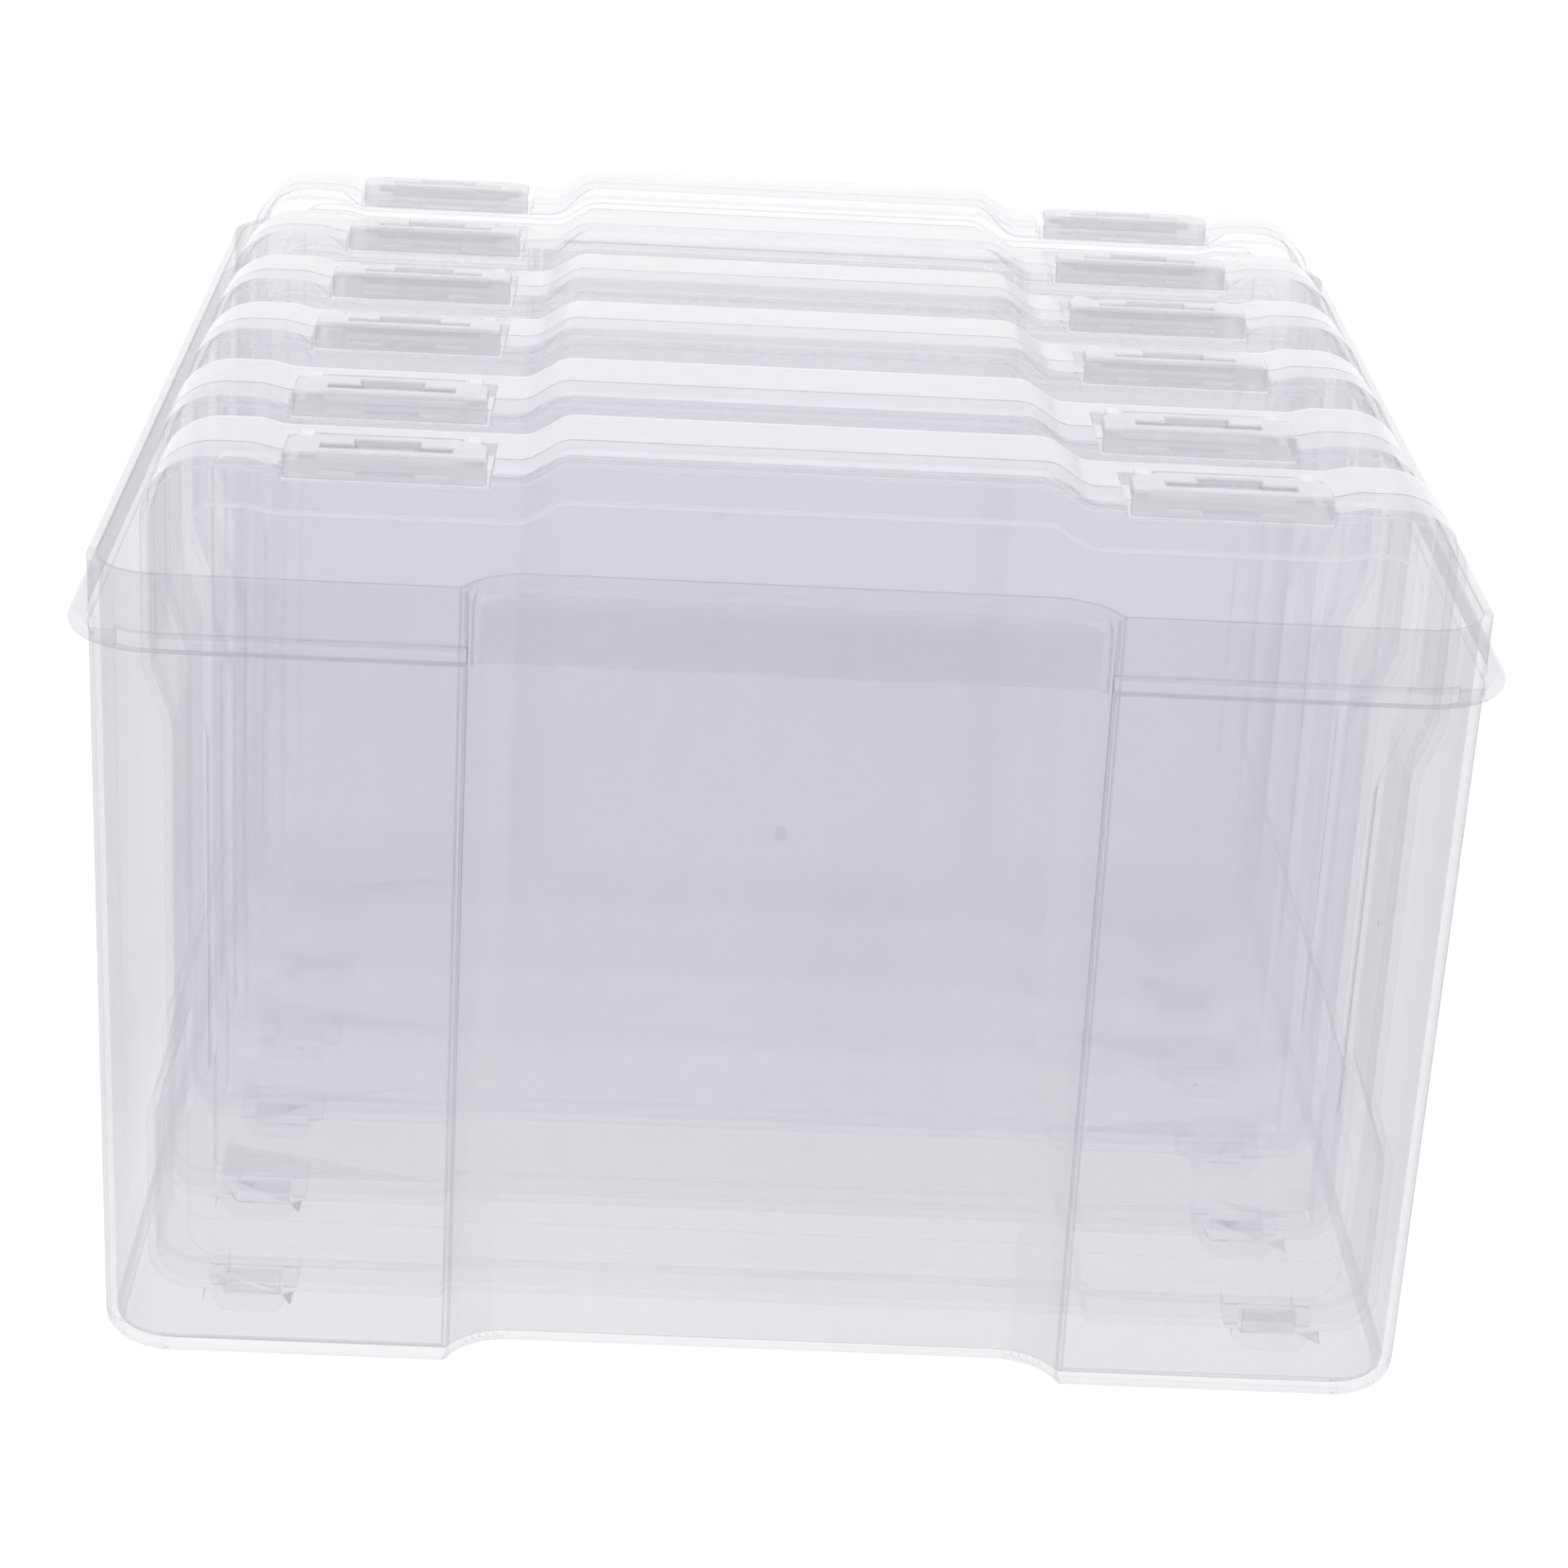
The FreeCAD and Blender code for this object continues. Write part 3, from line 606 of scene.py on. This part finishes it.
@dataclass(frozen=True)
class MouldMark:
    """A shallow round mark that a gate or an ejector pin leaves on a moulding."""

    radius: float
    height: float
    rim: float
    sunk_share: float = 0.5
    segments: int = 32

    def add_to(self, mesh: bmesh.types.BMesh, place: Matrix) -> None:
        """Add the mark to a mesh, rim outwards along the place's Z axis.

        Args:
            mesh: The mesh that collects the marks of one piece.
            place: Where the mark's middle sits and which way it faces.
        """
        made = bmesh.ops.create_cone(
            mesh, cap_ends=True, segments=self.segments, radius1=self.radius, radius2=self.radius,
            depth=self.height, matrix=Matrix.Translation((0.0, 0.0, self.height / 2)))
        faces = {face for vertex in made["verts"] for face in vertex.link_faces}
        top = max(faces, key=lambda face: face.calc_center_median().z)
        inner = bmesh.ops.inset_individual(mesh, faces=[top], thickness=self.rim)
        bmesh.ops.translate(mesh, verts=list(top.verts), vec=(0.0, 0.0, -self.sunk_share * self.height))
        corners = {vertex for face in faces | set(inner["faces"]) for vertex in face.verts}
        bmesh.ops.transform(mesh, matrix=place, verts=list(corners))


@dataclass(frozen=True)
class LipRidge:
    """A small rounded ridge moulded on a latch's lip, made lighter by a painted highlight."""

    width: float = 5.0 * MM
    height: float = 0.5 * MM
    rise: float = 0.16 * MM
    round_share: float = 0.45
    round_steps: int = 4
    tone: float = -0.55

    def add_to(self, mesh: bmesh.types.BMesh, place: Matrix) -> None:
        """Add the ridge to a mesh, standing out along the place's Z axis.

        Args:
            mesh: The mesh that collects the ridges of one latch.
            place: Where the ridge's middle sits and which way it faces.
        """
        layer = mesh.faces.layers.float.get(PAINTED_LIGHT_TONE) or mesh.faces.layers.float.new(PAINTED_LIGHT_TONE)
        corners = bmesh.ops.create_cube(mesh, size=1.0)["verts"]
        bmesh.ops.scale(mesh, verts=corners, vec=(self.width, self.height, 2.0 * self.rise))
        edges = {edge for corner in corners for edge in corner.link_edges}
        uprights = [edge for edge in edges if abs(edge.verts[0].co.z - edge.verts[1].co.z) > self.rise]
        rounded = bmesh.ops.bevel(
            mesh, geom=uprights, offset=self.round_share * self.height, offset_type="OFFSET",
            affect="EDGES", segments=self.round_steps, profile=0.5, material=-1)
        faces = {face for vertex in rounded["verts"] for face in vertex.link_faces}
        # The ridge's faces take the tone of a painted highlight.
        for face in faces:
            face[layer] = self.tone
        shaped = {corner for face in faces for corner in face.verts}
        bmesh.ops.transform(mesh, matrix=place, verts=list(shaped))


@dataclass(frozen=True)
class ShellPaintedLight:
    """Painted light on a tray and its lid: painted highlights on the tops, the rear strip, the panel step,
    the rear round and the front round's lower part, painted shade along the seam, the front round and the
    other rounds, and the directions that part one from another.
    """

    upward: float = 0.6
    frontward: float = -0.92
    rear_strip: float = -1.0
    tray_top: float = -0.85
    lid_top: float = -0.58
    panel_step: float = -0.6
    seam: float = 0.8
    front_glint: float = -0.45
    front_round: float = 0.12
    front_end: float = 0.5
    rear_round: float = -0.9
    other_round: float = 0.1


@dataclass(frozen=True)
class LatchPaintedLight:
    """Painted light on a latch: painted highlights on its level top and its upper front rounds, painted
    shade on its other rounds, and the directions that part one from another.
    """

    level: float = 0.9
    upward: float = 0.2
    frontward: float = -0.2
    top: float = -0.5
    front_glint: float = -0.4
    other_round: float = 0.15


@dataclass
class StorageCase:
    """One clamshell case: tray, lid and two latches, standing in the tub."""

    number: int
    shift: float
    seam: float
    stand: float
    lean: float
    lid_depth: float = 8.7 * MM
    lid_face: float = 9.2 * MM
    tray_depth: float = 13.4 * MM
    edge_round: float = 1.5 * MM
    seam_line: float = 0.4 * MM
    rear_line: float = 0.6 * MM
    sunk_height: float = 118.0 * MM
    open_height: float = 129.0 * MM
    deep_edge: float = 0.04
    pin_mark: MouldMark = MouldMark(radius=2.1 * MM, height=0.12 * MM, rim=0.35 * MM)
    pin_spread: float = 81.3 * MM
    pin_rise: float = 24.0 * MM
    gate_mark: MouldMark = MouldMark(radius=1.3 * MM, height=0.14 * MM, rim=0.4 * MM)
    gate_rise: float = 68.0 * MM
    latch_spread: float = 60.35 * MM
    ridge: LipRidge = LipRidge()
    ridge_spread: float = 6.8 * MM
    ridge_rise: float = 133.6 * MM
    shell_painted_light: ShellPaintedLight = ShellPaintedLight()
    latch_painted_light: LatchPaintedLight = LatchPaintedLight()

    @property
    def standing(self) -> Matrix:
        """Where the case's own frame stands in the tub."""
        return Matrix.Translation((self.shift, self.seam, self.stand)) @ Matrix.Rotation(-self.lean, 4, "X")

    @property
    def rear_strip(self) -> float:
        """Distance behind the seam at which the painted highlight strip along the tray's rear edge starts.
        """
        return self.tray_depth - self.edge_round - self.rear_line

    def front_spot(self, across: float, depth: float, rise: float) -> Matrix:
        """Find a point on the front of the case.

        Args:
            across: Distance to the right of the case's middle.
            depth: Distance in front of the seam.
            rise: Height above the case's underside.

        Returns:
            The place there, with Z pointing out of the front.
        """
        spot = self.standing @ Matrix.Translation((across, -depth, rise))
        return spot @ Matrix.Rotation(QUARTER_TURN, 4, "X")

    def round_tone(self, spot: Vector, facing: Vector) -> float:
        """Say how a tight round of the tray or lid takes the light where nothing shades it.

        Args:
            spot: The spot, in the case's own frame.
            facing: Which way the surface faces there, in the case's own frame.

        Returns:
            The tone.
        """
        tones = self.shell_painted_light
        if spot.y < -self.lid_depth:
            return tones.panel_step
        if abs(spot.y) < self.seam_line:
            return tones.seam
        if spot.y < self.edge_round - self.lid_depth:
            if facing.y > tones.frontward:
                return tones.front_round + tones.front_end * abs(facing.x)
            return tones.front_glint
        if spot.y > self.tray_depth - self.edge_round:
            return tones.rear_round
        return tones.other_round

    def shell_tone(self, place: Vector, direction: Vector, edge: float) -> float:
        """Say how a spot of the tray or lid takes the light.

        Args:
            place: The spot.
            direction: Which way the surface faces there.
            edge: How far the spot belongs to a tight round.

        Returns:
            The tone.
        """
        spot = self.standing.inverted() @ place
        facing = self.standing.to_3x3().inverted() @ direction
        tones = self.shell_painted_light
        # Level tops above the tub's rim take painted highlights: the rear strip, the tray's top and the
        # lid's top.
        if edge < OPEN_SHARE:
            if facing.z < tones.upward or spot.z < self.open_height:
                return 0.0
            if spot.y > self.rear_strip:
                return tones.rear_strip
            return tones.tray_top if spot.y > 0.0 else tones.lid_top
        # Painted shade and highlights on rounds fade below the tub's rim, down to the deep_edge share.
        lit = hold(spot.z, self.sunk_height, self.open_height)
        strength = edge * (self.deep_edge + (1.0 - self.deep_edge) * lit)
        return self.round_tone(spot, facing) * strength

    def latch_tone(self, _place: Vector, direction: Vector, edge: float) -> float:
        """Say how a spot of a latch takes the light.

        Args:
            _place: The spot, which makes no difference on a latch.
            direction: Which way the surface faces there.
            edge: How far the spot belongs to a tight round.

        Returns:
            The tone.
        """
        tones = self.latch_painted_light
        # A latch's level top and upper front rounds take painted highlights, its other rounds painted
        # shade.
        if edge < OPEN_SHARE:
            return tones.top if direction.z > tones.level else 0.0
        if direction.z > tones.upward and direction.y < tones.frontward:
            return tones.front_glint * edge
        return tones.other_round * edge

    def build_marks(self, plastic_and_painted_light: bpy.types.Material) -> None:
        """Build the ejector and gate marks on the lid.

        Args:
            plastic_and_painted_light: The case plastic.
        """
        mesh = bmesh.new()
        for side in Side:
            across = side.value * self.pin_spread
            self.pin_mark.add_to(mesh, self.front_spot(across, self.lid_face, self.pin_rise))
        self.gate_mark.add_to(mesh, self.front_spot(0.0, self.lid_face, self.gate_rise))
        name = f"case_{self.number}_lid_mould_marks"
        piece = finish_mesh(mesh, name, plastic_and_painted_light)
        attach(piece, f"case_{self.number}")
        LOG.info("built %s", name)

    def build_ridges(self, side: Side, plastic_and_painted_light: bpy.types.Material) -> None:
        """Build the two small ridges on the front of a latch's lip.

        Args:
            side: Which latch.
            plastic_and_painted_light: The latch plastic.
        """
        mesh = bmesh.new()
        for way in Side:
            across = side.value * self.latch_spread + way.value * self.ridge_spread
            self.ridge.add_to(mesh, self.front_spot(across, self.lid_depth, self.ridge_rise))
        name = f"case_{self.number}_latch_{side.name.lower()}_ridges"
        piece = finish_mesh(mesh, name, plastic_and_painted_light)
        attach(piece, f"case_{self.number}_{side.name.lower()}_latch")
        LOG.info("built %s", name)

    def build(self, shell: bpy.types.Material, latch: bpy.types.Material) -> None:
        """Finish the case's four pieces and add their small marks.

        Args:
            shell: The case plastic.
            latch: The latch plastic.
        """
        behind = Matrix.Translation((0.0, self.rear_strip, 0.0))
        rear_cut = self.standing @ behind @ Matrix.Rotation(QUARTER_TURN, 4, "X")
        tray = MouldingWithPaintedLight(f"case_{self.number}_tray", RecordSlot.CASE)
        tray.build(shell, self.shell_tone, [rear_cut])
        lid = MouldingWithPaintedLight(f"case_{self.number}_lid", RecordSlot.CASE)
        lid.build(shell, self.shell_tone, [])
        self.build_marks(shell)
        for side in Side:
            node = f"case_{self.number}_latch_{side.name.lower()}"
            MouldingWithPaintedLight(node, RecordSlot.LATCH).build(latch, self.latch_tone, [])
            self.build_ridges(side, latch)


@dataclass(frozen=True)
class TubPaintedLight:
    """Painted light on the tub: painted shade on the rim's top and inner round, the flange's level faces
    and underside, the outer corners and the other edges, painted highlights on the rim's outer round, the
    flange's upper round, the recess ends and the bar's edges, and the directions that part one from
    another.
    """

    level: float = 0.9
    downward: float = -0.2
    corner_turn: tuple[float, float] = (0.75, 1.0)
    recess_turn: tuple[float, float] = (0.25, 0.2)
    rim_side_top: float = 0.3
    rim_front_top: float = 0.05
    rim_inside: float = 0.7
    rim_outside: float = -0.3
    flange_face: float = 0.25
    flange_glint: float = -0.25
    flange_under: float = 0.25
    corner: float = 0.9
    recess_end: float = -0.3
    bar_edge: float = -0.3
    other_edge: float = 0.6


@dataclass
class OuterTub:
    """The open tub that the cases stand in."""

    node: str = "outer_tub"
    rim_height: float = 126.8 * MM
    rim_line: float = 0.6 * MM
    flange_low: float = 115.5 * MM
    flange_high: float = 118.7 * MM
    wall_half: tuple[float, float] = (100.8 * MM, 100.3 * MM)
    corner_round: float = 11.0 * MM
    corner_zone: float = 22.0 * MM
    draft_shift: float = 2.2 * MM
    wall_slack: float = 0.3 * MM
    recess_half: float = 46.0 * MM
    edge_reach: float = 1.2 * MM
    bar_low: float = 110.0 * MM
    gate_mark: MouldMark = MouldMark(radius=1.1 * MM, height=0.12 * MM, rim=0.35 * MM)
    gate_rise: float = 88.6 * MM
    gate_face: float = 93.23 * MM
    tones: TubPaintedLight = TubPaintedLight()

    def stands_out(self, place: Vector) -> bool:
        """Tell whether a spot lies outside the rounded outline of the walls.

        Args:
            place: The spot.

        Returns:
            True on the flange, False on the walls.
        """
        along = max(abs(place.x) - self.wall_half[0] + self.corner_round, 0.0)
        back = max(abs(place.y) - self.wall_half[1] + self.corner_round, 0.0)
        return math.hypot(along, back) > self.corner_round + self.wall_slack

    def on_outer_corner(self, place: Vector, direction: Vector) -> bool:
        """Tell whether a spot lies on the outside of one of the four upright corners.

        Args:
            place: The spot.
            direction: Which way the surface faces there.

        Returns:
            True on the outside of a corner.
        """
        far_back = abs(place.y) > self.wall_half[1] - self.corner_round - self.draft_shift
        far_across = abs(place.x) > self.wall_half[0] - self.corner_zone
        return far_back and far_across and direction.x * place.x > 0.0

    def on_recess_end(self, place: Vector, direction: Vector) -> bool:
        """Tell whether a spot lies on the upright rounds at the ends of a grip recess.

        Args:
            place: The spot.
            direction: Which way the surface faces there.

        Returns:
            True on such a round.
        """
        sideways, frontward = self.tones.recess_turn
        turned = abs(direction.x) > sideways and abs(direction.y) > frontward
        return turned and abs(place.x) < self.recess_half

    def rim_tone(self, place: Vector, direction: Vector, edge: float) -> float:
        """Say how a spot of the top rim takes the light.

        Args:
            place: The spot.
            direction: Which way the surface faces there.
            edge: How far the spot belongs to a tight round.

        Returns:
            The tone.
        """
        tones = self.tones
        at_side = abs(place.x) > abs(place.y)
        if edge < OPEN_SHARE:
            return tones.rim_side_top if at_side else tones.rim_front_top
        outward = direction.x * place.x if at_side else direction.y * place.y
        return (tones.rim_inside if outward < 0.0 else tones.rim_outside) * edge

    def edge_tone(self, place: Vector, direction: Vector, edge: float) -> float:
        """Say how a spot of the tub takes the light.

        Args:
            place: The spot.
            direction: Which way the surface faces there.
            edge: How far the spot belongs to a tight round.

        Returns:
            The tone.
        """
        tones = self.tones
        is_open = edge < OPEN_SHARE
        # The tub's rim, flange, corners, recess ends and edges take painted shade or painted highlights.
        if place.z > self.rim_height - self.rim_line:
            return self.rim_tone(place, direction, edge)
        if self.flange_low < place.z < self.flange_high:
            if is_open and abs(direction.z) > tones.level:
                return tones.flange_face
            if self.stands_out(place):
                return (tones.flange_glint if direction.z > tones.downward else tones.flange_under) * edge
        if is_open and self.on_outer_corner(place, direction):
            return tones.corner * hold(abs(direction.x), *tones.corner_turn)
        if is_open and self.on_recess_end(place, direction):
            return tones.recess_end
        if abs(place.x) < self.recess_half - self.edge_reach and place.z > self.bar_low:
            return tones.bar_edge * edge
        return tones.other_edge * edge

    def build(self, plastic_and_painted_light: bpy.types.Material) -> None:
        """Finish the tub and add the gate mark in its recess.

        Args:
            plastic_and_painted_light: The tub plastic.
        """
        cuts = []
        for side in Side:
            across = side.value * (self.wall_half[0] - self.corner_round)
            cuts.append(Matrix.Translation((across, 0.0, 0.0)) @ Matrix.Rotation(QUARTER_TURN, 4, "Y"))
            along = side.value * (self.wall_half[1] - self.corner_round)
            cuts.append(Matrix.Translation((0.0, along, 0.0)) @ Matrix.Rotation(QUARTER_TURN, 4, "X"))
        MouldingWithPaintedLight(self.node, RecordSlot.TUB).build(plastic_and_painted_light, self.edge_tone, cuts)
        mesh = bmesh.new()
        spot = Matrix.Translation((0.0, -self.gate_face, self.gate_rise))
        self.gate_mark.add_to(mesh, spot @ Matrix.Rotation(QUARTER_TURN, 4, "X"))
        piece = finish_mesh(mesh, "outer_tub_gate_mark", plastic_and_painted_light)
        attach(piece, "tub")
        LOG.info("built the tub's gate mark")


@dataclass(frozen=True)
class SoftLamp:
    """One broad lamp: its strength, its angles from overhead and round the upright, and its width."""

    name: str
    power: float
    tilt: float
    turn: float
    softness: float

    def hang(self) -> None:
        """Add the lamp to the scene."""
        lamp = bpy.data.lights.new(self.name, "SUN")
        lamp.energy = self.power
        lamp.angle = self.softness
        holder = bpy.data.objects.new(self.name, lamp)
        holder.matrix_world = Matrix.Rotation(self.turn, 4, "Z") @ Matrix.Rotation(self.tilt, 4, "X")
        bpy.context.scene.collection.objects.link(holder)


OVERHEAD_LAMP = SoftLamp(
    name="overhead_lamp",
    power=1.2,
    tilt=math.radians(24.0),
    turn=math.radians(200.0),
    softness=math.radians(70.0),
)
FRONT_LAMP = SoftLamp(
    name="front_lamp",
    power=0.45,
    tilt=math.radians(62.0),
    turn=math.radians(15.0),
    softness=math.radians(80.0),
)


@dataclass
class Studio:
    """Pale floor, soft light and the camera at the photograph's viewing angle."""

    floor_half: float = 4.0
    floor_colour: Colour = (0.86, 0.86, 0.87)
    floor_lift: float = 0.10
    floor_cloud_scale: float = 3.0
    floor_cloud_detail: float = 2.0
    floor_cloud_range: tuple[float, float] = (0.3, 0.7)
    floor_shade: float = 0.99
    sky: float = 0.78
    lamps: tuple[SoftLamp, ...] = (OVERHEAD_LAMP, FRONT_LAMP)
    camera_place: tuple[float, float, float] = (-17.03 * MM, -620.33 * MM, 315.12 * MM)
    azimuth: float = math.radians(1.862)
    elevation: float = math.radians(22.518)
    roll: float = math.radians(3.186)
    lens: float = 90.15
    near_clip: float = 0.01
    see_through_layers: int = 128
    light_bounces: int = 1

    @staticmethod
    def seen_rays(bench: NodeBench) -> Socket:
        """Pick out the rays that show the background.

        Args:
            bench: The tree that asks.

        Returns:
            A socket that is 1 for camera, glossy and transmission rays.
        """
        rays = bench.add("ShaderNodeLightPath").outputs
        glossy = bench.sum_up("MAXIMUM", rays["Is Camera Ray"], rays["Is Glossy Ray"])
        return bench.sum_up("MAXIMUM", glossy, rays["Is Transmission Ray"])

    def build_world(self) -> None:
        """Build an even sky that shows as white."""
        world = bpy.data.worlds.new("studio_sky")
        world.use_nodes = True
        world.node_tree.nodes.clear()
        bench = NodeBench(world.node_tree)
        background = bench.add("ShaderNodeBackground")
        bench.feed(background.inputs["Color"], opaque(WHITE))
        strength = bench.spread(self.seen_rays(bench), 0.0, 1.0, self.sky, 1.0)
        bench.feed(background.inputs["Strength"], strength)
        leave = bench.add("ShaderNodeOutputWorld")
        bench.feed(leave.inputs["Surface"], background.outputs["Background"])
        bpy.context.scene.world = world

    def build_floor(self) -> None:
        """Build the pale floor, which keeps the object's shadow."""
        mesh = bmesh.new()
        bmesh.ops.create_grid(mesh, x_segments=1, y_segments=1, size=self.floor_half)
        material = bpy.data.materials.new("pale_floor")
        material.use_nodes = True
        material.node_tree.nodes.clear()
        bench = NodeBench(material.node_tree)
        place = bench.add("ShaderNodeTexCoord").outputs["Object"]
        cloud = bench.noise(place, self.floor_cloud_scale, self.floor_cloud_detail)
        shade = bench.spread(cloud, *self.floor_cloud_range, self.floor_shade, 1.0)
        matt = bench.add("ShaderNodeBsdfDiffuse")
        colour = bench.blend(shade, opaque(BLACK), opaque(self.floor_colour))
        bench.feed(matt.inputs["Color"], colour)
        glow = bench.add("ShaderNodeEmission")
        lift = bench.sum_up("MULTIPLY", self.seen_rays(bench), self.floor_lift)
        bench.feed(glow.inputs["Strength"], lift)
        both = bench.add("ShaderNodeAddShader")
        bench.feed(both.inputs[0], matt.outputs["BSDF"])
        bench.feed(both.inputs[1], glow.outputs["Emission"])
        leave = bench.add("ShaderNodeOutputMaterial")
        bench.feed(leave.inputs["Surface"], both.outputs["Shader"])
        floor = finish_mesh(mesh, "studio_floor", material)
        floor.visible_diffuse = True

    def build_camera(self) -> None:
        """Place the camera where the photograph was taken from."""
        level = math.cos(self.elevation)
        drop = math.sin(self.elevation)
        forward = Vector((math.sin(self.azimuth) * level, math.cos(self.azimuth) * level, -drop))
        right = Vector((math.cos(self.azimuth), -math.sin(self.azimuth), 0.0))
        up = right.cross(forward)
        rolled_right = math.cos(self.roll) * right + math.sin(self.roll) * up
        rolled_up = math.cos(self.roll) * up - math.sin(self.roll) * right
        turned = Matrix((rolled_right, rolled_up, -forward)).transposed().to_4x4()
        data = bpy.data.cameras.new("photo_camera")
        data.lens = self.lens
        data.clip_start = self.near_clip
        camera = bpy.data.objects.new("photo_camera", data)
        camera.matrix_world = Matrix.Translation(self.camera_place) @ turned
        bpy.context.scene.collection.objects.link(camera)
        bpy.context.scene.camera = camera

    def build(self) -> None:
        """Set up the whole studio."""
        scene = bpy.context.scene
        scene.view_settings.view_transform = "Standard"
        scene.cycles.transparent_max_bounces = self.see_through_layers
        scene.cycles.max_bounces = self.light_bounces
        scene.cycles.diffuse_bounces = self.light_bounces
        scene.cycles.glossy_bounces = self.light_bounces
        self.build_world()
        self.build_floor()
        for lamp in self.lamps:
            lamp.hang()
        self.build_camera()
        LOG.info("built the studio")


CASES = [
    StorageCase(
        number=1, shift=1.6 * MM, seam=-80.9 * MM, stand=6.0 * MM, lean=0.0,
        sunk_height=106.0 * MM, open_height=121.0 * MM, deep_edge=0.25),
    StorageCase(number=2, shift=0.0, seam=-51.8 * MM, stand=6.0 * MM, lean=0.0),
    StorageCase(number=3, shift=0.0, seam=-24.9 * MM, stand=6.3 * MM, lean=math.radians(3.1)),
    StorageCase(number=4, shift=0.0, seam=4.0 * MM, stand=6.3 * MM, lean=math.radians(3.4)),
    StorageCase(number=5, shift=0.0, seam=32.9 * MM, stand=6.35 * MM, lean=math.radians(3.7)),
    StorageCase(number=6, shift=0.0, seam=61.8 * MM, stand=6.37 * MM, lean=math.radians(4.0)),
]


def main() -> None:
    """Dress the frame and set up the studio."""
    logging.basicConfig(level=logging.INFO, format="%(message)s")
    effects = MouldedPlasticEffects()
    OuterTub().build(TUB_PLASTIC_AND_PAINTED_LIGHT.build(effects))
    case_plastic = CASE_PLASTIC_AND_PAINTED_LIGHT.build(effects)
    latch_plastic = LATCH_PLASTIC_AND_PAINTED_LIGHT.build(effects)
    for case in CASES:
        case.build(case_plastic, latch_plastic)
    Studio().build()


if __name__ == "__main__":
    main()
